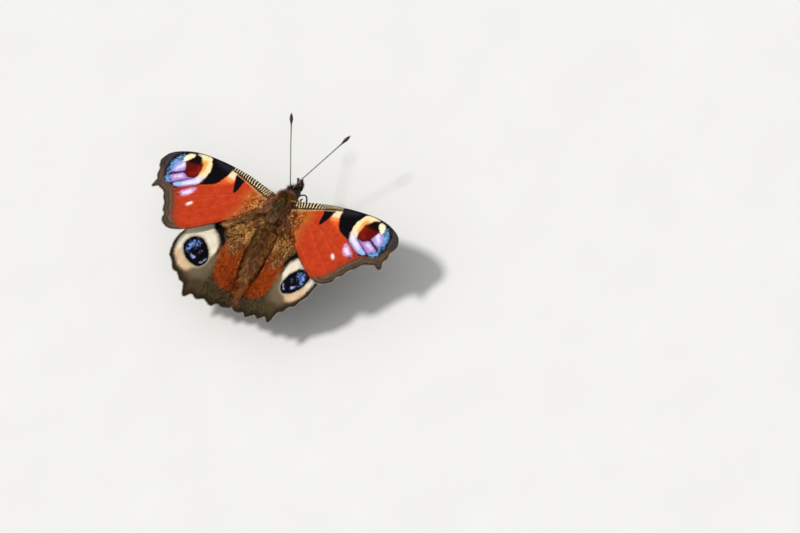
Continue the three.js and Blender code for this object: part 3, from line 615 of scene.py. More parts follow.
edge_share = add(tree, "Math", {0: edge_share, 1: in_border}, operation="MULTIPLY")[0]
colour = add(tree, "Mix", {0: edge_share, 6: colour, 7: linear("#272019")}, data_type="RGBA")[2]
finish_scales(tree, shader, colour, fine, coarse, chance, 0.5)

# Undersides of all four wings: charcoal brown with black wavy lines across the wing, like charred bark. The
# finest real lines are too fine to show, so they are drawn about 0.6 millimetres apart.
bark_scales, tree, shader = new_material("charcoal_chitin_scales", Roughness=0.8, Specular_IOR_Level=0.2)
plan, fine, coarse, chance = scale_pattern(tree, (1, 0.5, 1))
waviness = {"Vector": plan, "Scale": 0.55, "Distortion": 9.0, "Detail": 3.0, "Detail Scale": 0.8}
waves = add(tree, "TexWave", waviness, bands_direction="X")["Fac"]
waves = add(tree, "MapRange", {0: waves, 1: 0.25, 2: 0.7})[0]
colour = add(tree, "Mix", {0: waves, 6: linear("#120E0C"), 7: linear("#3A3029")}, data_type="RGBA")[2]
patches = add(tree, "MapRange", {0: coarse, 1: 0.4, 2: 0.65, 4: 0.6})[0]
colour = add(tree, "Mix", {0: patches, 6: colour, 7: linear("#1D1714")}, data_type="RGBA")[2]
from_margin = add(tree, "Attribute", attribute_name="from_margin")["Fac"]
rim_share = add(tree, "MapRange", {0: from_margin, 1: 3.2, 2: 1.2, 4: 0.55},
                interpolation_type="SMOOTHSTEP")[0]
colour = add(tree, "Mix", {0: rim_share, 6: colour, 7: linear("#6A5848")}, data_type="RGBA")[2]
finish_scales(tree, shader, colour, fine, coarse, chance, 0.4)

forewing_grid = wing_patch(forewing["costa"], forewing["inner"], forewing["margin"], 150, 96)
for word, side in (("right", 1), ("left", -1)):
    make_wing(f"scaled_forewing_{word}", forewing, side, forewing_grid, [red_scales, bark_scales],
              f"forewing_{word}", forewing_marks)


# Hindwings
# Brown and rust scales, long and hair-like towards the body, round a black eyespot with blue scales in a
# cream ring. The inner part is folded down to hold the abdomen.
hindwing_marks = {
    "rust_field": {"colour": "#8E390E", "soft": 0.6, "ragged": 0.35,
        "outline": [(-1, -8.5), (3.6, -9.5), (7.5, -10), (8, -12), (8.3, -14), (8.6, -15.5),
            (8.3, -17.2), (7.7, -18.9), (6.9, -20.1), (5.6, -21.1), (4.1, -21.6), (2.9, -21.5),
            (1.6, -21), (-1, -20)]},
    "rust_furrow": {"colour": "#7E3A0E", "soft": 0.6, "ragged": 0.35,
        "outline": [(-1, -6), (2.6, -9), (3, -14), (2.6, -18), (1.6, -21), (-1, -22)]},
    "pinkish_groove": {"colour": "#70492F", "soft": 0.5, "ragged": 0.35,
        "outline": [(-1, -10), (0.3, -10), (0.6, -14), (0.5, -18), (0.9, -21), (0.8, -25), (-1, -25)]},
    "pinkish_spot": {"colour": "#8E5139", "soft": 0.5, "ragged": 0.25, "width": (0.45, 0.35),
        "route": [(8, -15.4), (8.5, -16), (9.2, -16.6)]},
    "grey_shade": {"colour": "#5E523E", "soft": 0.8, "ragged": 0.3,
        "outline": [(8.6, -16.6), (10.2, -17.5), (11, -19.4), (13.8, -20.5), (12.5, -21.6), (9, -21.4),
            (8, -19.5)]},
    "olive_shade": {"colour": "#463A24", "soft": 0.8, "ragged": 0.3,
        "outline": [(2, -22.3), (5, -22), (7.5, -21.4), (11, -21.8), (11, -23.2), (7, -24), (2, -24)]},
    "black_patch": {"colour": "#0F0A07", "soft": 0.35, "ragged": 0.35,
        "outline": [(8.9, -7.4), (13, -7.4), (13.4, -9.8), (12, -10.2), (10.7, -11), (9.6, -11.9),
            (9, -12.9), (8.4, -13.2), (8, -12.3), (8.1, -11), (8.4, -9.6)]},
    "cream_ring": {"colour": "#E8DAC2", "soft": 0.35, "ragged": 0.25,
        "outline": [(12.1, -10.2), (13, -9.2), (16.2, -9.4), (18.1, -11.4), (18.6, -13.8),
            (18.55, -15.4), (18.2, -17), (17.3, -18.6), (15.8, -19.8), (14.2, -20.1), (12.4, -19.8),
            (11, -19.1), (9.9, -17.4), (9.3, -15.7), (9.2, -14), (9.6, -12.5), (10.6, -11.3)]},
    "ring_smoke": {"colour": "#A39284", "soft": 0.5, "ragged": 0.35, "width": (0.15, 0.15),
        "route": [(9.4, -12.9), (10.4, -11.6), (11.6, -10.8)]},
    "buff_ring": {"colour": "#D9B48C", "soft": 0.7, "ragged": 0.25,
        "outline": [(12.8, -18.9), (15.2, -18.1), (16.6, -16.6), (17.7, -17), (16.9, -19), (15, -20.4),
            (12.8, -20.2)]},
    "ring_gap": {"colour": "#6C5D45", "soft": 0.8, "ragged": 0.35,
        "outline": [(8.6, -15.7), (9.8, -16.1), (10.4, -18.4), (12.2, -19.2), (12.9, -20.4),
            (10.5, -20.8), (8.4, -18)]},
    "oval_halo": {"colour": "#8F866E", "soft": 0.45, "ragged": 0.25, "like": "eyespot_oval", "grown": 0.3},
    "eyespot_oval": {"colour": "#080608", "soft": 0.15, "ragged": 0.15,
        "outline": [(14.3, -12.9), (15.8, -13.3), (16.6, -14.4), (16.7, -15.4), (16.3, -16.5),
            (15.4, -17.6), (14, -18.5), (12.5, -18.95), (11.3, -18.85), (10.4, -18.1), (10.1, -17.2),
            (10.3, -16.1), (10.9, -15), (11.7, -14.1), (12.6, -13.4), (13.4, -13)]},
    "blue_patch": {"colour": "#7496DC", "soft": 0.3, "ragged": 0.9, "gaps": 0.36,
        "outline": [(13.3, -14.3), (14.2, -13.8), (15, -14.1), (15.5, -14.9), (15.6, -15.9),
            (15.3, -16.5), (14.9, -16.2), (14.5, -15.4), (13.8, -15)]},
    "violet_dot": {"colour": "#5C5288", "soft": 0.25, "ragged": 0.4, "gaps": 0.25, "width": (0.14, 0.14),
        "route": [(12.3, -15.6), (12.4, -15.9), (12.6, -16.2)]},
    "lilac_dot": {"colour": "#A09CDC", "soft": 0.2, "ragged": 0.35, "width": (0.28, 0.12),
        "route": [(13.2, -17.4), (13.5, -17.3), (14.1, -17.1)]},
    "lilac_streak": {"colour": "#8F8AC2", "soft": 0.15, "ragged": 0.25, "width": (0.12, 0.12),
        "route": [(10.6, -16.9), (10.9, -17.5), (11.5, -18.1)]},
    "golden_base": {"colour": "#85501E", "soft": 1.2, "ragged": 1.0,
        "outline": [(-1, -2), (8, -4), (8.4, -9), (7, -12), (6, -13.5), (4.5, -13), (3.2, -11),
            (-1, -9.5)]},
    "tan_base": {"colour": "#87561F", "soft": 1.3, "ragged": 0.8,
        "outline": [(3.2, -3.4), (9.6, -5), (9, -8.6), (8.2, -10.2), (6.5, -10.6), (4.4, -10), (3.6, -8)]},
    # Partly painted light: this strip behind the forewing's rear edge has pale hair, and its colour is
    # lightened further to offset the forewing's shadow on it.
    "pale_front": {"colour": "#A07444", "soft": 0.5, "ragged": 0.6, "width": (0.4, 0.6),
        "route": [(4.2, -4.4), (6.6, -5.9), (9.3, -7.9)]},
    # Partly painted light: brown hair at the root, lightened to offset the shade that the body and the
    # forewing's base cast there.
    "brown_root": {"colour": "#A46E3C", "soft": 0.8, "ragged": 0.6,
        "outline": [(-1, -2), (3.6, -2.5), (4.4, -4.5), (4, -6.2), (2.6, -7.4), (-1, -7.6)]},
    # Painted highlight: a pale beaded line along the ridge of the fold, where the sun would catch it.
    "fold_highlight": {"colour": "#B27C46", "soft": 0.08, "ragged": 0.25, "gaps": 0.4, "width": (0.07, 0.03),
        "route": [(3.2, -7.5), (3.4, -10), (3.45, -13), (3.15, -16), (2.6, -19), (2.1, -22),
            (1.6, -24.4)]},
}

# Longer, hair-like chitin scales: they give the eye a dull brown nap with streaks down the wing.
brown_scales, tree, shader = new_material("brown_chitin_scales", Roughness=0.78, Specular_IOR_Level=0.03)
plan, fine, coarse, chance = scale_pattern(tree, (1, 0.45, 1))
streaked = add(tree, "VectorMath", {0: plan, 1: (5, 0.5, 1)}, operation="MULTIPLY")[0]
streaks = add(tree, "TexNoise", {"Vector": streaked, "Scale": 1.0, "Detail": 2.0})["Fac"]
streaks = add(tree, "MapRange", {0: streaks, 1: 0.3, 2: 0.7})[0]
ground = add(tree, "Mix", {0: streaks, 6: linear("#2E2418"), 7: linear("#5E4C36")}, data_type="RGBA")[2]
colour = lay_marks(tree, ground, hindwing_marks, fine, chance)

# Gold and dark scales over the base, and a dark edge along the margin.
base_depth = add(tree, "Attribute", attribute_name="golden_base")["Fac"]
base_share = add(tree, "MapRange", {0: base_depth, 1: -1.6, 2: 0.6}, interpolation_type="SMOOTHSTEP")[0]
colour = sprinkle_flecks(tree, plan, colour, base_share, (1, 0.6, 1), 0.6, "#D2AC76", 0.7, "#5A3414")
from_margin = add(tree, "Attribute", attribute_name="from_margin")["Fac"]
from_margin = add(tree, "Math", {0: fine, 1: 0.6, 2: from_margin}, operation="MULTIPLY_ADD")[0]
edge_share = add(tree, "MapRange", {0: from_margin, 1: 2.0, 2: 0.6, 4: 0.85},
                 interpolation_type="SMOOTHSTEP")[0]
colour = add(tree, "Mix", {0: edge_share, 6: colour, 7: linear("#261D13")}, data_type="RGBA")[2]
finish_scales(tree, shader, colour, fine, coarse, chance, 0.5)

outer_hindwing = wing_patch(hindwing["costa"], hindwing["fold"], hindwing["margin"], 130, 96)
inner_hindwing = wing_patch(hindwing["fold"], hindwing["inner"], hindwing["anal_end"], 130, 18)
hindwing_grid = np.concatenate([outer_hindwing, inner_hindwing[:, 1:]], 1)
for word, side in (("right", 1), ("left", -1)):
    make_wing(f"scaled_hindwing_{word}", hindwing, side, hindwing_grid, [brown_scales, bark_scales],
              f"hindwing_{word}", hindwing_marks)


# Body skin
# One soft skin over head, thorax and abdomen, dark and scaly, of which only glimpses show through the hair.
# The abdomen has eight rings and is bent a little to the right.
body_sections = [  # ahead, up, half width, half height, from the brow to the waist
    (4.02, -1.3, 0.02, 0.02), (3.9, -1.3, 0.42, 0.6), (3.55, -1.3, 0.72, 1.08), (3.0, -1.3, 0.88, 1.4),
    (2.45, -1.3, 0.95, 1.45), (2.05, -1.35, 1.15, 1.5), (1.6, -1.4, 1.5, 1.75), (0.9, -1.55, 1.88, 2.15),
    (0, -1.75, 2.1, 2.32), (-1.6, -2, 2.2, 2.5), (-3.3, -2.05, 2.05, 2.32), (-4.7, -2.05, 1.65, 1.92),
    (-5.6, -2, 1.3, 1.5),
]
abdomen_start, abdomen_end = np.array([-5.2, -1.75]), np.array([-18.6, -3.55])
abdomen_girth = [1.35, 1.6, 1.72, 1.75, 1.68, 1.5, 1.22, 0.85]
abdomen_coat_depth = 0.15
for ring, girth in enumerate(abdomen_girth):
    for along, share in ((0.3, 1.0), (0.8, 0.99), (0.95, 0.92)):
        if ring + along > 0.5:
            ahead, up = abdomen_start + (abdomen_end - abdomen_start) * (ring + along) / len(abdomen_girth)
            half = girth * share - abdomen_coat_depth
            body_sections.append((ahead, up, half, half * 0.95))
body_sections.append((-18.45, -3.53, 0.02, 0.02))
abdomen_turn, abdomen_pivot = math.radians(3.3), -4.5


def body_point(along, around):
    """The skin's surface at shares of the way back along the body and round it from its right side."""
    ahead, up, half_width, half_height = curve_through(body_sections, along).T
    angle = 2 * math.pi * np.asarray(around)
    half_width, half_height = np.maximum(half_width, 0.01), np.maximum(half_height, 0.01)
    across = np.cos(angle) * half_width
    bent = smooth_step(abdomen_pivot, abdomen_pivot - 2.5, ahead) * abdomen_turn
    behind = ahead - abdomen_pivot
    points = np.column_stack([
        across * np.cos(bent) - behind * np.sin(bent),
        abdomen_pivot + across * np.sin(bent) + behind * np.cos(bent),
        up + np.sin(angle) * half_height,
    ])
    return points + roots


def unit(vectors):
    """The same directions, each of length one."""
    return vectors / np.maximum(np.linalg.norm(vectors, axis=1), 1e-9)[:, None]


body_marks = {  # drawn from above, across and ahead, with the abdomen laid straight
    "olive_middle": {"colour": "#513A18", "soft": 0.7,
        "outline": [(-0.9, -0.2), (0.6, 0.8), (1.6, -0.2), (1.9, -2), (1.7, -4), (0.8, -3.4),
            (-0.2, -2.4), (-1.2, -1.4)]},
    "grey_middle": {"colour": "#50402A", "soft": 0.5,
        "outline": [(0, -0.8), (1.1, -0.8), (1.3, -3), (0.6, -3), (-0.2, -2)]},
    "golden_shoulder_right": {"colour": "#84591C", "soft": 0.5, "width": (0.3, 0.3),
        "route": [(1.3, 1.4), (1.6, 0.6), (1.8, -0.2)]},
    "golden_shoulder_left": {"colour": "#7A4E22", "soft": 0.5, "width": (0.3, 0.3),
        "route": [(-1.3, 1.4), (-1.6, 0.6), (-1.8, -0.2)]},
    # Partly painted light and shade: the flaps at the thorax's sides are pinkish brown, the left one
    # lightened as if lit and the right one darkened as if in shade.
    "flap_right": {"colour": "#7E4A26", "soft": 0.5, "width": (0.4, 0.3),
        "route": [(2.1, -0.4), (2.2, -1.4), (2.1, -3)]},
    "flap_left": {"colour": "#CC9270", "soft": 0.5, "width": (0.4, 0.4),
        "route": [(-2.1, 0.8), (-2.2, -1), (-2.2, -3.4)]},
    "pinkish_collar": {"colour": "#B48878", "soft": 0.25, "width": (0.32, 0.32),
        "route": [(-1, 2.4), (-0.6, 2.1), (0, 2), (0.6, 2.1), (1, 2.4)]},
    "collar_flap_right": {"colour": "#5E463E", "soft": 0.3, "width": (0.2, 0.2),
        "route": [(0.75, 2.6), (0.9, 2.4), (1.1, 2)]},
    "collar_flap_left": {"colour": "#94705F", "soft": 0.3, "width": (0.25, 0.3),
        "route": [(-0.75, 2.6), (-0.9, 2.4), (-1.1, 2)]},
    "rear_lobe": {"colour": "#70543A", "soft": 0.25,
        "outline": [(-1.5, -4.1), (-0.6, -3.6), (0.4, -3.9), (1.1, -4.4), (0.9, -5.1), (0, -5.4),
            (-1, -5.2)]},
    # Painted shade and light: dark lines round the rear lobe of the thorax and across the waist, where shade
    # falls in the partings of the hair, each with a pale lit edge beside it.
    "painted_light_parting": {"colour": "#927458", "soft": 0.14, "width": (0.12, 0.16),
        "route": [(-0.8, -2.5), (0.2, -2.95), (1, -3.75)]},
    "painted_shade_parting": {"colour": "#1C1004", "soft": 0.14, "width": (0.12, 0.12),
        "route": [(-0.8, -2.95), (0.3, -3.5), (1.25, -4.2), (1.5, -5)]},
    "painted_light_lobe_edge": {"colour": "#A08262", "soft": 0.15, "width": (0.12, 0.14),
        "route": [(0.3, -5.1), (0.75, -4.8), (1, -4.4)]},
    "painted_shade_waist": {"colour": "#201304", "soft": 0.16, "width": (0.12, 0.14),
        "route": [(-1.5, -5.2), (-0.5, -5.6), (0.5, -5.5), (1.3, -4.9)]},
    "painted_light_waist": {"colour": "#84704A", "soft": 0.2, "width": (0.14, 0.16),
        "route": [(-1.1, -6.1), (0.2, -6.25), (1, -5.9), (1.4, -5.3)]},
    "dark_first_ring": {"colour": "#352408", "soft": 0.25, "width": (0.14, 0.16),
        "route": [(-1.4, -6.7), (0, -6.95), (1.4, -6.5)]},
    "abdomen": {"colour": "#764A20", "soft": 0.8,
        "outline": [(-3, -7.6), (3, -7.6), (3, -21), (-3, -21)]},
    "abdomen_rear": {"colour": "#98653A", "soft": 2.5,
        "outline": [(-3, -13.5), (3, -13.5), (3, -21), (-3, -21)]},
    "abdomen_olive": {"colour": "#6C5026", "soft": 0.5,
        "outline": [(-2.2, -7.5), (-0.8, -8), (-0.5, -13), (-1.2, -15), (-2.4, -13.5)]},
    "abdomen_violet": {"colour": "#7A4C30", "soft": 0.5,
        "outline": [(0.2, -8.5), (1.1, -9), (1.2, -15.5), (0.3, -16.5), (-0.2, -14)]},
    # Partly painted light: the abdomen's right flank is gold, and lightened to offset the shade in the
    # groove beside it.
    "abdomen_side_right": {"colour": "#B07238", "soft": 0.4,
        "outline": [(1.4, -6), (3, -6), (3, -20), (1.2, -19), (1.45, -12)]},
    "abdomen_side_left": {"colour": "#80572E", "soft": 0.4,
        "outline": [(-1.5, -6), (-3, -6), (-3, -20), (-1.2, -19), (-1.5, -12)]},
    "brow": {"colour": "#3A2822", "soft": 0.3,
        "outline": [(-1.6, 3), (1.6, 3), (1.6, 5), (-1.6, 5)]},
}


def coat_tint(points):
    """The colour of the hair or skin at points of the body, darker on the underside."""
    place = points - roots
    across = place[:, 0] + np.minimum(0, place[:, 1] - abdomen_pivot) * math.tan(abdomen_turn)
    tint = marked_colour("#6C441D", body_marks, np.column_stack([across, place[:, 1]]))
    below = 0.8 * smooth_step(-2.4, -4.0, place[:, 2:] - 0.09 * (place[:, 1:2] + 5) * (place[:, 1:2] < -5))
    return tint * (1 - below) + np.array(linear("#4A3626")[:3]) * below


# Chitin under fine flat scales: it gives the eye a dull dark ground, pitted a tenth of a millimetre apart.
dark_skin, tree, shader = new_material("scaly_body_chitin", Roughness=0.85, Specular_IOR_Level=0.05)
tint = add(tree, "Attribute", attribute_name="tint")["Color"]
place = add(tree, "TexCoord")["Object"]
scales = add(tree, "TexVoronoi", {"Vector": place, "Scale": 9000.0})["Distance"]
dimmed = add(tree, "HueSaturation", {"Color": tint, "Value": 0.55})["Color"]
tree.links.new(dimmed, shader.inputs["Base Color"])
normal = add(tree, "Bump", {"Height": scales, "Strength": 0.5, "Distance": 0.04 * mm})["Normal"]
tree.links.new(normal, shader.inputs["Normal"])

skin_rows, skin_columns = 220, 65
along = np.repeat(np.linspace(0, 1, skin_rows), skin_columns)
around = np.tile(np.linspace(0, 1, skin_columns), skin_rows)
skin = body_point(along, around)
seam = np.arange(skin_rows) * skin_columns
skin[seam + skin_columns - 1] = skin[seam]
skin_faces = grid_faces(skin_rows, skin_columns)
at_seam = skin_faces % skin_columns == skin_columns - 1
skin_faces = np.where(at_seam, skin_faces - skin_columns + 1, skin_faces)
make_piece("body_skin", skin, skin_faces, [dark_skin], ["thorax", "abdomen", "head"],
           {"tint": coat_tint(skin)})


# Coats of the body
# Long fine hair in brown and gold lies back over the thorax, and is shorter on the abdomen and shortest on
# the face. Single hairs are too fine to show, so thin pointed tufts are drawn that lean together in clumps.
def make_tufts(name, base, normals, headings, lengths, widths, lift, tints, places, material):
    """Curved three-sided blades. Each knows its colour, and its patch of the unwrapped skin or wing."""
    normals, headings = unit(normals), unit(headings)
    sideways = unit(np.cross(normals, headings))
    sizes = (lengths, widths, lift)
    lengths, widths, lift = (np.broadcast_to(np.asarray(v, float), len(base))[:, None] for v in sizes)
    sunk = 0.03
    bend = 0.45
    rings = []
    for share, girth in ((0, 0.8), (0.35, 1.0), (0.7, 0.7)):
        rise = lift * (share - bend * share ** 2)
        middle = base + lengths * (headings * share + normals * rise) - normals * sunk * (share == 0)
        half = widths * girth / 2
        corners = [middle - sideways * half, middle + normals * half * 0.9, middle + sideways * half]
        rings.append(np.stack(corners, 1))
    tip = base + lengths * (headings + normals * lift * (1 - bend))
    points = np.concatenate([*rings, tip[:, None]], 1)
    count = points.shape[1]
    one = [(0, 2, 1)]
    for ring in (0, 3):
        one += [(ring + k, ring + (k + 1) % 3, ring + 3 + (k + 1) % 3, ring + 3 + k) for k in range(3)]
    one += [(6 + k, 6 + (k + 1) % 3, 9) for k in range(3)]
    starts = range(0, count * len(base), count)
    faces = [[first + corner for corner in face] for first in starts for face in one]
    from_root = np.tile(np.repeat([0, 0.35, 0.7, 1], [3, 3, 3, 1]), len(base))
    patch = 0.003
    spread = np.array([(k % 3 - 1, share) for share in (-0.5, -0.15, 0.2) for k in range(3)] + [(0, 0.5)])
    patches = np.clip(places, 0.004, 0.996)[:, None] + spread * (patch / 2, patch)
    values = {"tint": np.repeat(tints, count, axis=0), "from_root": from_root}
    return make_piece(name, points.reshape(-1, 3), faces, [material], values=values,
                      patches=patches.reshape(-1, 2))


def scatter_on_body(count, first, last, rng):
    """Places spread evenly over a stretch of the skin, with its normals there and the way back along it."""
    rows, columns = 160, 64
    a, b = np.meshgrid(np.linspace(first, last, rows + 1), np.linspace(0, 1, columns + 1), indexing="ij")
    grid = body_point(a.ravel(), b.ravel()).reshape(rows + 1, columns + 1, 3)
    corner = grid[:-1, :-1]
    area = np.linalg.norm(np.cross(grid[1:, :-1] - corner, grid[:-1, 1:] - corner), axis=2).ravel()
    cell = rng.choice(len(area), count, p=area / area.sum())
    along = first + (last - first) * (cell // columns + rng.random(count)) / rows
    around = (cell % columns + rng.random(count)) / columns
    point = body_point(along, around)
    behind, before = np.minimum(along + 0.002, 1), np.maximum(along - 0.002, 0)
    back = unit(body_point(behind, around) - body_point(before, around))
    turn = body_point(along, around + 0.004) - body_point(along, around - 0.004)
    normal = unit(np.cross(turn, back))
    return point, normal, back, np.column_stack([around, along])


def clumped(point, heading, normal, reach, strength, tufts_each, rng):
    """Bends the hair towards the middles of clumps of about so many tufts, and gives each its clump."""
    middles = point[rng.choice(len(point), max(1, len(point) // tufts_each), replace=False)]
    nearest = np.array([np.argmin(np.sum((middles - p) ** 2, axis=1)) for p in point])
    lean = middles[nearest] + heading * reach - point
    lean -= normal * np.sum(lean * normal, axis=1)[:, None]
    return unit(unit(heading) * (1 - strength) + unit(lean) * strength), nearest


# Fine insect hair of chitin: it gives the eye a soft nap, dark at the roots and paler at the tips.
coat_hair, tree, shader = new_material("chitin_hair", Roughness=0.6, Specular_IOR_Level=0.08)
tint = add(tree, "Attribute", attribute_name="tint")["Color"]
from_root = add(tree, "Attribute", attribute_name="from_root")["Fac"]
lightness = add(tree, "MapRange", {0: from_root, 3: 0.45, 4: 1.3})[0]
colour = add(tree, "HueSaturation", {"Color": tint, "Value": lightness})["Color"]
tree.links.new(colour, shader.inputs["Base Color"])

section_count = len(body_sections)
head_end, thorax_end = 4.6 / (section_count - 1), 12.3 / (section_count - 1)
coats = {  # count, first and last share along the body, length, width, lift
    "head_coat": (3600, 0.004, head_end, (0.35, 0.75), 0.06, 0.7),
    "thorax_coat": (12000, head_end, thorax_end, (0.7, 1.3), 0.07, 0.4),
    "abdomen_coat": (12000, thorax_end, 0.995, (0.5, 0.9), 0.06, 0.4),
}
for number, (name, (count, first, last, length, width, lift)) in enumerate(coats.items()):
    rng = np.random.default_rng(40 + number)
    point, normal, back, places = scatter_on_body(count, first, last, rng)
    ahead = (point - roots)[:, 1:2]
    upward_share = normal[:, 2:3]
    flank = 1 - np.abs(upward_share)
    outward = np.sign(normal[:, :1]) * np.array([1.0, 0, 0])
    beside_groove = smooth_step(-5.5, -7, ahead) * smooth_step(0.75, 0.3, upward_share)
    beside_groove *= smooth_step(-0.5, 0, upward_share)
    heading = back + np.array([0, 0, -0.2]) * flank + rng.normal(0, 0.18, (count, 3))
    over_wings = smooth_step(-5, -3.6, ahead) * smooth_step(2.2, 1.2, ahead)
    over_wings *= smooth_step(0.25, 0.6, np.abs(normal[:, :1])) * smooth_step(0, 0.4, upward_share)
    heading += outward * (0.4 * flank * (upward_share > -0.3) + 0.6 * over_wings)
    heading -= normal * np.sum(heading * normal, axis=1)[:, None]
    heading, clump = clumped(point, unit(heading), normal, length[1], 0.5, 10, rng)
    shade = np.exp(rng.normal(0, 0.3, count)[clump] + rng.normal(0, 0.15, count))
    lengths = rng.uniform(*length, count) * (1 + 0.8 * beside_groove[:, 0] + 0.4 * over_wings[:, 0])
    collar = smooth_step(1.2, 1.9, ahead) * smooth_step(3.0, 2.4, ahead)
    collar *= smooth_step(-0.7, 0.1, upward_share)
    lengths *= 1 + 0.4 * collar[:, 0]
    rise = (lift + 0.5 * collar[:, 0] + 0.5 * beside_groove[:, 0]) * rng.uniform(0.7, 1.3, count)
    if name == "head_coat":
        upright = (rng.random(count) < 0.25) & (normal[:, 2] > 0)
        lengths[upright] *= 1.5
        rise[upright] += 0.8
    tints = coat_tint(point + heading * lengths[:, None] * 0.6) * shade[:, None]
    golden = (rng.random(count)[clump] < 0.13) & (ahead[:, 0] < 1.2)
    tints[golden] = tints[golden] * 0.5 + np.array(linear("#B98D58")[:3]) * 0.5
    widths = width * rng.uniform(0.8, 1.2, count)
    make_tufts(name, point, normal, heading, lengths, widths, rise, tints, places, coat_hair)


# Palps
# Two short feelers of horn that grow from under the face and curve up before it. Flat scales bristle on
# them, dark on the outside and pale on the inside.
def make_tube(route, radii, sides=12, rings=40):
    """Rings of points round a smooth route with a half thickness at each of its points."""
    shares = np.linspace(0, 1, rings)
    route = np.column_stack([route, radii])
    line = curve_through(route, shares)
    middle, radius = line[:, :3] + roots, np.maximum(line[:, 3], 0.01)
    heading = unit(np.gradient(middle, axis=0))
    across = np.cross(heading[0], (0.3, 0.2, 1.0))
    points, outward = [], []
    for centre, direction, r in zip(middle, heading, radius):
        across = across - direction * (across @ direction)
        across /= np.linalg.norm(across)
        over = np.cross(direction, across)
        angles = np.arange(sides) * 2 * math.pi / sides
        ring = np.outer(np.cos(angles), across) + np.outer(np.sin(angles), over)
        points.append(centre + ring * r)
        outward.append(ring)
    points, outward = np.concatenate(points), np.concatenate(outward)
    faces = [
        (r * sides + k, r * sides + (k + 1) % sides, (r + 1) * sides + (k + 1) % sides, (r + 1) * sides + k)
        for r in range(rings - 1) for k in range(sides)
    ]
    last = (rings - 1) * sides
    faces += [tuple(range(sides - 1, -1, -1)), tuple(range(last, last + sides))]
    steps = np.linalg.norm(np.diff(middle, axis=0), axis=1)
    travelled = np.concatenate([[0], np.cumsum(steps)])
    values = {
        "along": np.repeat(shares, sides),
        "travelled": np.repeat(travelled, sides),
        "outward": outward,
    }
    return points, faces, values, np.repeat(heading, sides, axis=0)


def tube_piece(name, route, radii, material, node, sides=12, rings=40):
    """A tube that takes the place of a node."""
    points, faces, values, _ = make_tube(route, radii, sides, rings)
    return make_piece(name, points, faces, [material], [node], values)


palp_route = [(0.38, 3.3, -2), (0.45, 4.4, -2.05), (0.47, 5.25, -1.65), (0.48, 5.8, -0.75)]
palp_sides, palp_tufts = 14, 760

# Dark horn under the scales: it gives the eye a dull, faintly mottled ground.
palp_core, tree, shader = new_material("dark_palp_horn", Roughness=0.8)
place = add(tree, "TexCoord")["Object"]
mottle = add(tree, "TexNoise", {"Vector": place, "Scale": 3000.0, "Detail": 2.0})["Fac"]
colour = add(tree, "Mix", {0: mottle, 6: linear("#15100D"), 7: linear("#271D18")}, data_type="RGBA")[2]
tree.links.new(colour, shader.inputs["Base Color"])
for word, side in (("right", 1), ("left", -1)):
    route = np.array(palp_route) * (side, 1, 1)
    points, faces, values, headings = make_tube(route, (0.2, 0.27, 0.26, 0.08), palp_sides, 60)
    make_piece(f"palp_core_{word}", points, faces, [palp_core], [f"palp_{word}"], values)
    rng = np.random.default_rng(60 + side)
    chosen = rng.choice(len(points) - 2 * palp_sides, palp_tufts, replace=False) + palp_sides
    inner = values["outward"][chosen] @ (-side, 0, 0.2) > 0.35
    pale = inner & (rng.random(palp_tufts) < 0.45) | (rng.random(palp_tufts) < 0.1)
    tints = np.where(pale[:, None], linear("#A0927C")[:3], linear("#140E0C")[:3])
    tints = tints * np.exp(rng.normal(0, 0.35, (palp_tufts, 1)))
    places = np.column_stack([chosen % palp_sides / palp_sides, values["along"][chosen]])
    heading = headings[chosen] + rng.normal(0, 0.3, (palp_tufts, 3))
    lengths = rng.uniform(0.22, 0.5, palp_tufts)
    make_tufts(f"palp_coat_{word}", points[chosen], values["outward"][chosen], heading, lengths, 0.075, 0.6,
               np.maximum(tints, 0.002), places, coat_hair)


# Eyes
# Large faceted eyes of dark polished horn. The real facets are a fiftieth of a millimetre and too fine to
# show, so ones of a tenth are drawn. They give the eye a dim, broken gloss.
eye_horn, tree, shader = new_material(
    "eye_horn", Roughness=0.5, Specular_IOR_Level=0.12, Coat_Weight=0.05, Coat_Roughness=0.25,
)
place = add(tree, "TexCoord")["Object"]
facets = add(tree, "TexVoronoi", {"Vector": place, "Scale": 9500.0})["Distance"]
mottle = add(tree, "TexNoise", {"Vector": place, "Scale": 1200.0, "Detail": 2.0})["Fac"]
colour = add(tree, "Mix", {0: mottle, 6: linear("#120B0A"), 7: linear("#33261F")}, data_type="RGBA")[2]
tree.links.new(colour, shader.inputs["Base Color"])
normal = add(tree, "Bump", {"Height": facets, "Strength": 0.35, "Distance": 0.03 * mm})["Normal"]
tree.links.new(normal, shader.inputs["Normal"])
eye_half_size = (0.75, 0.93, 1.18)
eye_place = (0.85, 2.95, -1.25)
for word, side in (("right", 1), ("left", -1)):
    rows, columns = 33, 49
    polar = np.repeat(np.linspace(0.02, math.pi - 0.02, rows), columns)
    turned = np.tile(np.linspace(0, 2 * math.pi, columns), rows)
    ball = np.column_stack([np.sin(polar) * np.cos(turned), np.sin(polar) * np.sin(turned), np.cos(polar)])
    points = ball * eye_half_size + np.array(eye_place) * (side, 1, 1) + roots
    faces = grid_faces(rows, columns)[:, ::-1]
    make_piece(f"eyeball_{word}", points, faces, [eye_horn], [f"eye_{word}"])


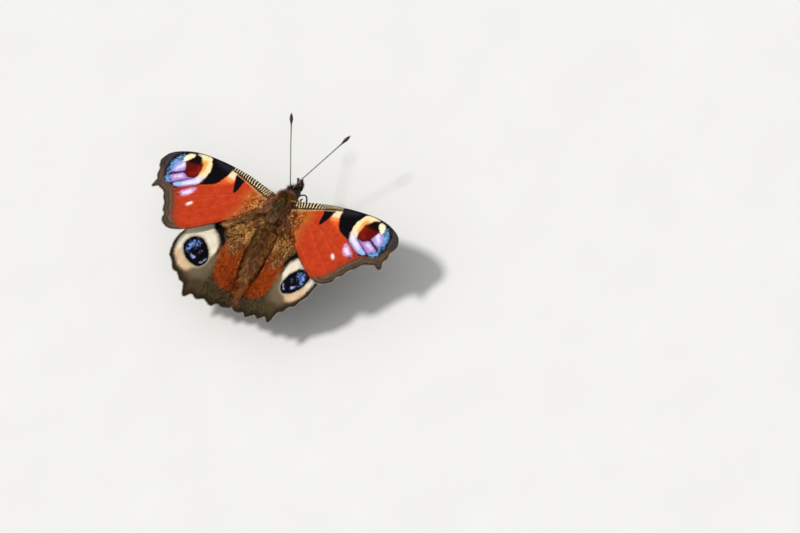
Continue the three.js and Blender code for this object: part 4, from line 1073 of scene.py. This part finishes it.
# Antennae and proboscis
# Thin stiff feelers of black horn with a pale ring at each joint and a club with a pale tip, and a dark
# coiled tongue of two joined half tubes. Both give the eye a thin, smooth line with a slight shine.
antenna_route = [(0.35, 3.1, -0.7), (0.55, 3.65, 0.3), (2.45, 7, 1.3), (4.4, 10.35, 2.25), (6.8, 14.6, 3.4),
                 (7.55, 15.95, 3.8), (8.2, 17.05, 4.1)]
antenna_radii = (0.2, 0.14, 0.12, 0.12, 0.16, 0.38, 0.1)
joint_spacing = 0.45
antenna_horn, tree, shader = new_material("antenna_horn", Roughness=0.45)
travelled = add(tree, "Attribute", attribute_name="travelled")["Fac"]
rings = add(tree, "Math", {0: travelled, 1: 2 * math.pi / joint_spacing}, operation="MULTIPLY")[0]
rings = add(tree, "Math", {0: rings}, operation="SINE")[0]
rings = add(tree, "MapRange", {0: rings, 1: 0.35, 2: 0.75, 4: 0.8})[0]
along = add(tree, "Attribute", attribute_name="along")["Fac"]
on_shaft = add(tree, "MapRange", {0: along, 1: 0.72, 2: 0.66})[0]
off_base = add(tree, "Math", {0: along, 1: 0.08}, operation="GREATER_THAN")[0]
on_shaft = add(tree, "Math", {0: on_shaft, 1: off_base}, operation="MULTIPLY")[0]
rings = add(tree, "Math", {0: rings, 1: on_shaft}, operation="MULTIPLY")[0]
colour = add(tree, "Mix", {0: rings, 6: linear("#1C1814"), 7: linear("#CFC8B4")}, data_type="RGBA")[2]
at_tip = add(tree, "MapRange", {0: along, 1: 0.93, 2: 0.97})[0]
colour = add(tree, "Mix", {0: at_tip, 6: colour, 7: linear("#C9B184")}, data_type="RGBA")[2]
tree.links.new(colour, shader.inputs["Base Color"])
for word, side in (("right", 1), ("left", -1)):
    route = np.array(antenna_route) * (side, 1, 1)
    tube_piece(f"ringed_antenna_{word}", route, antenna_radii, antenna_horn, f"antenna_{word}",
               12, 160)

proboscis_route = [(0, 3.3, -2.4), (0, 3.65, -3.5)]
coil_steps, outer_coil, inner_coil = 11, 1.5, 0.65
for step in range(coil_steps + 1):
    angle = math.radians(50 - 360 * step / coil_steps)
    radius = outer_coil + (inner_coil - outer_coil) * step / coil_steps
    proboscis_route.append((0, 3.4 + math.cos(angle) * radius, -5.45 + math.sin(angle) * radius))
proboscis_radii = [0.17] * (len(proboscis_route) - 1) + [0.1]
ridge_spacing = 0.16
dark_horn, tree, shader = new_material("dark_tongue_horn", Roughness=0.35)
travelled = add(tree, "Attribute", attribute_name="travelled")["Fac"]
ridges = add(tree, "Math", {0: travelled, 1: 2 * math.pi / ridge_spacing}, operation="MULTIPLY")[0]
ridges = add(tree, "Math", {0: ridges}, operation="SINE")[0]
normal = add(tree, "Bump", {"Height": ridges, "Strength": 0.3, "Distance": 0.01 * mm})["Normal"]
tree.links.new(normal, shader.inputs["Normal"])
colour = add(tree, "MapRange", {0: ridges, 1: -1.0})[0]
colour = add(tree, "Mix", {0: colour, 6: linear("#14100E"), 7: linear("#2C231E")}, data_type="RGBA")[2]
tree.links.new(colour, shader.inputs["Base Color"])
tube_piece("coiled_proboscis", proboscis_route, proboscis_radii, dark_horn, "proboscis", 12, 140)


# Legs
# Jointed legs of dark horn under brown scales, with bristles, that stand on their last segments. The front
# pair is small and brush-like and is folded under the thorax. The scales give the horn a dull brown mottle.
leg_horn, tree, shader = new_material("leg_horn", Roughness=0.55)
place = add(tree, "TexCoord")["Object"]
mottle = add(tree, "TexNoise", {"Vector": place, "Scale": 2500.0, "Detail": 2.0})["Fac"]
colour = add(tree, "Mix", {0: mottle, 6: linear("#2A2018"), 7: linear("#6A5442")}, data_type="RGBA")[2]
tree.links.new(colour, shader.inputs["Base Color"])
walking_radii = (0.42, 0.36, 0.26, 0.2, 0.15, 0.13, 0.1)
leg_sides, leg_rings = 10, 90
legs = {  # route, half thicknesses, bristles
    "foreleg": ([(0.75, 0.5, -3.1), (1.05, 0.95, -4), (1.3, 1.65, -4), (1.28, 1.7, -4.5), (1.1, 0.8, -4.9),
                 (1, -0.05, -5.05)], (0.34, 0.3, 0.18, 0.16, 0.14, 0.06), 420),
    "midleg": ([(1.2, -1, -4), (2, -0.9, -5.1), (6.1, 1, -4.7), (6.5, 1.25, -5.1), (7.5, 2.2, -9.7),
                (7.9, 2.7, -10.86), (9.6, 4.9, -10.89)], walking_radii, 300),
    "hindleg": ([(1.1, -3.2, -3.9), (1.9, -3.8, -5.2), (6.2, -7.3, -5.0), (6.55, -7.75, -5.4),
                 (7.9, -11.2, -9.8), (8.1, -11.9, -10.86), (8.9, -15.2, -10.89)], walking_radii, 300),
}
for number, (name, (route, radii, bristles)) in enumerate(legs.items()):
    for word, side in (("right", 1), ("left", -1)):
        leg_route = np.array(route) * (side, 1, 1)
        points, faces, values, headings = make_tube(leg_route, radii, leg_sides, leg_rings)
        node = f"{name}_{word}"
        make_piece(f"jointed_{node}", points, faces, [leg_horn], [node], values)
        rng = np.random.default_rng(70 + number * 2 + side)
        chosen = rng.choice(len(points) - 2 * leg_sides, bristles, replace=False) + leg_sides
        above_floor = points[chosen][:, 2] > 0.2
        chosen = chosen[above_floor]
        count = len(chosen)
        tints = np.array(linear("#4A382A")[:3]) * rng.uniform(0.6, 1.6, (count, 1))
        places = np.column_stack([chosen % leg_sides / leg_sides, values["along"][chosen]])
        heading = headings[chosen] + rng.normal(0, 0.15, (count, 3))
        lengths = rng.uniform(0.2, 0.4, count)
        make_tufts(f"{name}_coat_{word}", points[chosen], values["outward"][chosen], heading, lengths, 0.05,
                   0.3, tints, places, coat_hair)


# Wing-base hair and fringes
# Soft gold and brown hair grows from the wing bases and down the folds beside the abdomen. A fringe of short
# flat scales edges each wing, dark at the veins and whitish between them.
unwrapped_corner, unwrapped_size = (-1, -28), 36  # the square of the plan that holds a whole wing
hair_above_wing = 0.05


def on_wing(wing, side, plan, up):
    """A place on a wing, with its upward normal and the ways that lead across and ahead there."""
    point = wing_place(wing, side, plan, up)
    across = wing_place(wing, side, plan + (0.05, 0), up) - point
    ahead = wing_place(wing, side, plan + (0, 0.05), up) - point
    return point, unit(np.cross(across, ahead)) * side, unit(across), unit(ahead)


def scatter_on_plan(grid, count, weight, rng):
    """Plan points spread over a wing's grid, as densely as a weight of the plan asks."""
    middle = (grid[:-1, :-1] + grid[1:, 1:]) / 2
    corner = grid[:-1, :-1]
    rowwise, columnwise = grid[1:, :-1] - corner, grid[:-1, 1:] - corner
    area = np.abs(rowwise[..., 0] * columnwise[..., 1] - rowwise[..., 1] * columnwise[..., 0])
    chance = (area * weight(middle.reshape(-1, 2)).reshape(area.shape)).ravel()
    cell = rng.choice(len(chance), count, p=chance / chance.sum())
    share = rng.random((count, 2, 1))
    corner, rowwise, columnwise = (field.reshape(-1, 2)[cell] for field in (corner, rowwise, columnwise))
    return corner + rowwise * share[:, 0] + columnwise * share[:, 1]


def forewing_hair_weight(plan):
    """Dense at the root and along the rear edge, and none on the barred front edge."""
    outward, forward = plan.T
    away = np.hypot(outward - 1.5, (forward + 4) * 0.75)
    rear_edge = smooth_step(0.8, 0.2, distance_to(forewing["inner"], plan)[0])
    rear_edge *= smooth_step(9.5, 6, outward)
    root = smooth_step(3.4, 2.7, outward)
    clear_front = smooth_step(0.3, 0.8, -depth_in(forewing_marks["costa_band"], plan))
    clear_front = np.maximum(clear_front, 0.5 * smooth_step(5.5, 3.5, outward))
    return (smooth_step(7, 2, away) + 6 * rear_edge) * (0.03 + clear_front) + 2 * root


def hindwing_hair_weight(plan):
    """Dense at the base, beside the abdomen and along the front, thin over the rest of the inner half."""
    outward, forward = plan.T
    away = np.hypot(outward - 3.5, (forward + 6.5) * 0.8)
    beside_abdomen = np.exp(-((outward - 0.8) / 1.8) ** 2) * smooth_step(-25, -19, forward)
    front = smooth_step(1.0, 0.2, distance_to(hindwing_marks["pale_front"]["route"], plan)[0])
    return smooth_step(7, 1.5, away) + beside_abdomen + 1.4 * front + 0.1 * smooth_step(9, 7, outward)


def forewing_hair(marks, plan):
    """Forewing hair lies outward and back, and is long over the rear edge, where it is tan."""
    outward, forward = plan.T
    rear_edge = smooth_step(0.7, 0.2, distance_to(forewing["inner"], plan)[0])
    rear_edge *= smooth_step(9.5, 7.5, outward)
    longer = np.maximum(1.6 * rear_edge, smooth_step(3.2, 2.6, outward))
    depth = np.maximum(depth_in(marks["golden_base"], plan), depth_in(marks["golden_front"], plan))
    flecked = smooth_step(-2.4, 0, depth)
    return {
        "lie": np.column_stack([0.8 - 0.3 * rear_edge, -0.7 - 1.2 * np.minimum(longer, 1)]),
        "longer": longer,
        "bridging": -0.6 * rear_edge,
        "pale_chance": 0.2 * flecked * smooth_step(3.0, 3.8, outward) * (1 - 0.3 * rear_edge),
        "dark_chance": 0.24 * flecked,
        "pale_stands": longer < 0.3,
        "tan": 0.9 * rear_edge * smooth_step(2.6, 3.6, outward) * smooth_step(7, 4.5, outward),
        "painted_light_in_fold": np.zeros(len(plan)),
    }


def hindwing_hair(marks, plan):
    """Hindwing hair fans out from the root and runs back beside the abdomen. It rises to bridge the gap
    under the forewing."""
    outward, forward = plan.T
    spread = smooth_step(-13, -7, forward)
    bridging = smooth_step(0.9, 0.4, distance_to(marks["pale_front"]["route"], plan)[0])
    rooted = smooth_step(-0.3, 0.5, depth_in(marks["brown_root"], plan))
    beside_abdomen = smooth_step(3.0, 0.8, outward) * smooth_step(-24, -19, forward)
    longer = np.maximum(beside_abdomen, np.maximum(bridging, rooted))
    across = 0.15 + spread * (0.8 + 1.4 * smooth_step(4.5, 2, outward))
    across -= 0.5 * longer * (1 - spread) + 0.6 * rooted
    flecked = smooth_step(-3.2, 0.6, depth_in(marks["tan_base"], plan))
    golden = smooth_step(-1.5, 0.5, depth_in(marks["golden_base"], plan))
    return {
        "lie": np.column_stack([across, np.full(len(plan), -1.0)]),
        "longer": longer,
        "bridging": bridging,
        "pale_chance": (0.04 + 0.1 * golden + 0.14 * flecked) * (1 - 0.9 * rooted),
        "dark_chance": 0.06 + 0.14 * golden,
        "pale_stands": np.ones(len(plan), bool),
        "tan": np.zeros(len(plan)),
        "painted_light_in_fold": smooth_step(1.8, 0.8, outward) * smooth_step(-6, -8, forward),
    }


# For each wing: its form, grid, ground and marks, how dense its hair is and how it lies, and the number and
# length of its tufts.
wing_hairs = {
    "forewing": (forewing, forewing_grid, "#BC3B1B", forewing_marks, forewing_hair_weight, forewing_hair,
                 7500, (0.3, 0.6)),
    "hindwing": (hindwing, hindwing_grid, "#463927", hindwing_marks, hindwing_hair_weight, hindwing_hair,
                 12000, (0.35, 0.75)),
}
root_light_and_shade = {  # painted light and shade near the roots: the left wings' hair is lightened as if lit, the right wings' darkened and reddened as if in shade
    "forewing": {"right": (0.85, 0.66, 0.6), "left": (1.75, 1.6, 1.75)},
    "hindwing": {"right": (1.05, 0.86, 0.8), "left": (1.3, 1.25, 1.35)},
}
for name, (wing, grid, ground, marks, weight, hair_at, count, length) in wing_hairs.items():
    for word, side in (("right", 1), ("left", -1)):
        rng = np.random.default_rng(80 + side)
        plan = scatter_on_plan(grid, count, weight, rng)
        point, normal, across, ahead = on_wing(wing, side, plan, veins_above(wing, plan) + hair_above_wing)
        hair = hair_at(marks, plan)
        turned = rng.normal(0, 0.35, (count, 2)) + hair["lie"]
        heading = across * turned[:, :1] + ahead * turned[:, 1:]
        heading, clump = clumped(point, heading, normal, length[1], 0.45, 5, rng)
        chance = rng.random(count)[clump]

        # Where the wing rises ahead of a tuft, the tuft rises with it and doesn't dip through the membrane.
        whole_length = length[1] * (1 + hair["longer"])[:, None]
        reach = np.column_stack([(heading * across).sum(1), (heading * ahead).sum(1)]) * whole_length
        tip_on_wing = wing_place(wing, side, plan + reach, 2 * hair_above_wing)
        wing_rise = ((tip_on_wing - point) * normal).sum(1, keepdims=True)
        heading = unit(heading + normal * np.maximum(wing_rise, 0) / whole_length)

        # Tufts of gold and of dark brown hair stand among those in the wing's own colours.
        tints = marked_colour(ground, marks, plan)
        pale = (chance < hair["pale_chance"])[:, None]
        dark = (chance > 1 - hair["dark_chance"])[:, None]
        rusty = smooth_step(-9.5, -12, plan[:, 1:])
        gold = 0.45 * np.minimum(tints * 3, 1) + 0.55 * np.array(linear("#EFC078")[:3])
        gold = gold * (1 - rusty) + tints * 2 * rusty
        tints = np.where(pale, gold, np.where(dark, tints * 0.16, tints * 0.9))
        tints = tints * np.exp(rng.normal(0, 0.12, count)[clump] + rng.normal(0, 0.1, count))[:, None]
        # Painted light: hair in the fold beside the abdomen is brightened to offset the shade there, more on
        # the right wing than on the left.
        tints = tints * (1 + (1.1 + 0.5 * side) * hair["painted_light_in_fold"])[:, None]
        tan_share = hair["tan"][:, None] * ~dark
        tan = np.where(pale, linear("#B88E60")[:3], linear("#74491F")[:3])
        tints = tints * (1 - tan_share) + tan * tan_share
        # Painted light and shade: the hair near the roots is lightened on the left wings and darkened on the
        # right.
        near_root = smooth_step(15, 9, np.hypot(plan[:, :1], plan[:, 1:] + 4)) * np.where(pale, 0.15, 1)
        tints = tints * (1 + near_root * (np.array(root_light_and_shade[name][word]) - 1))

        standing = pale[:, 0] & hair["pale_stands"]
        lengths = rng.uniform(*length, count) * (1 + hair["longer"]) * (1 + 0.25 * standing)
        rise = 0.2 + 0.25 * hair["longer"] + 0.5 * hair["bridging"] + 0.1 * standing
        rise = rise * rng.uniform(0.5, 1.5, count)
        places = (plan - unwrapped_corner) / unwrapped_size
        widths = 0.065 + 0.02 * standing
        make_tufts(f"{name}_base_coat_{word}", point, normal, heading, lengths, widths, rise, tints, places,
                   coat_hair)

    # The fringe follows the margin and ends on the inner edge. It is rusty along the forewing's rear edge.
    margin = curve_through(wing["margin"], np.linspace(0, 1, 2400))
    if name == "forewing":
        margin = np.concatenate([margin, evenly_along(wing["inner"], np.linspace(1, 0.25, 600))])
    else:
        margin = np.concatenate([margin, curve_through(wing["anal_end"], np.linspace(0, 1, 200))])
    steps = np.linalg.norm(np.diff(margin, axis=0), axis=1)
    travelled = np.concatenate([[0], np.cumsum(steps)])
    smoothed = np.stack([np.convolve(axis, np.ones(41) / 41, "same") for axis in margin.T], 1)
    onward = np.gradient(smoothed, axis=0)
    nearest_vein = np.min([np.hypot(*(margin - vein[-1]).T) for vein in wing["veins"]], axis=0)
    fringe_spacing = 0.028
    count = int(travelled[-1] / fringe_spacing)
    for word, side in (("right", 1), ("left", -1)):
        rng = np.random.default_rng(90 + side)
        chosen = np.searchsorted(travelled, rng.random(count) * travelled[-1] * 0.999)
        plan = margin[chosen] + rng.normal(0, 0.03, (count, 2))
        away = unit(np.stack([-onward[chosen][:, 1], onward[chosen][:, 0]], 1))
        point, normal, across, ahead = on_wing(wing, side, plan, -0.03)
        turned = away + rng.normal(0, 0.12, (count, 2))
        heading = across * turned[:, :1] + ahead * turned[:, 1:]
        pale_share = smooth_step(0.4, 0.9, nearest_vein[chosen])[:, None] * (rng.random((count, 1)) < 0.8)
        tints = np.array(linear("#2A2119")[:3]) * (1 - pale_share)
        tints = tints + np.array(linear("#BCAE9A")[:3]) * pale_share
        if name == "forewing":
            rusty = smooth_step(19.5, 18.5, plan[:, :1])
            tints = tints * (1 - rusty) + np.array(linear("#7A3216")[:3]) * rusty
        tints = tints * rng.uniform(0.8, 1.2, (count, 1))
        places = (plan - unwrapped_corner) / unwrapped_size
        lengths = rng.uniform(0.18, 0.32, count)
        make_tufts(f"{name}_fringe_{word}", point, normal, heading, lengths, 0.06, 0.0, tints, places,
                   coat_hair)
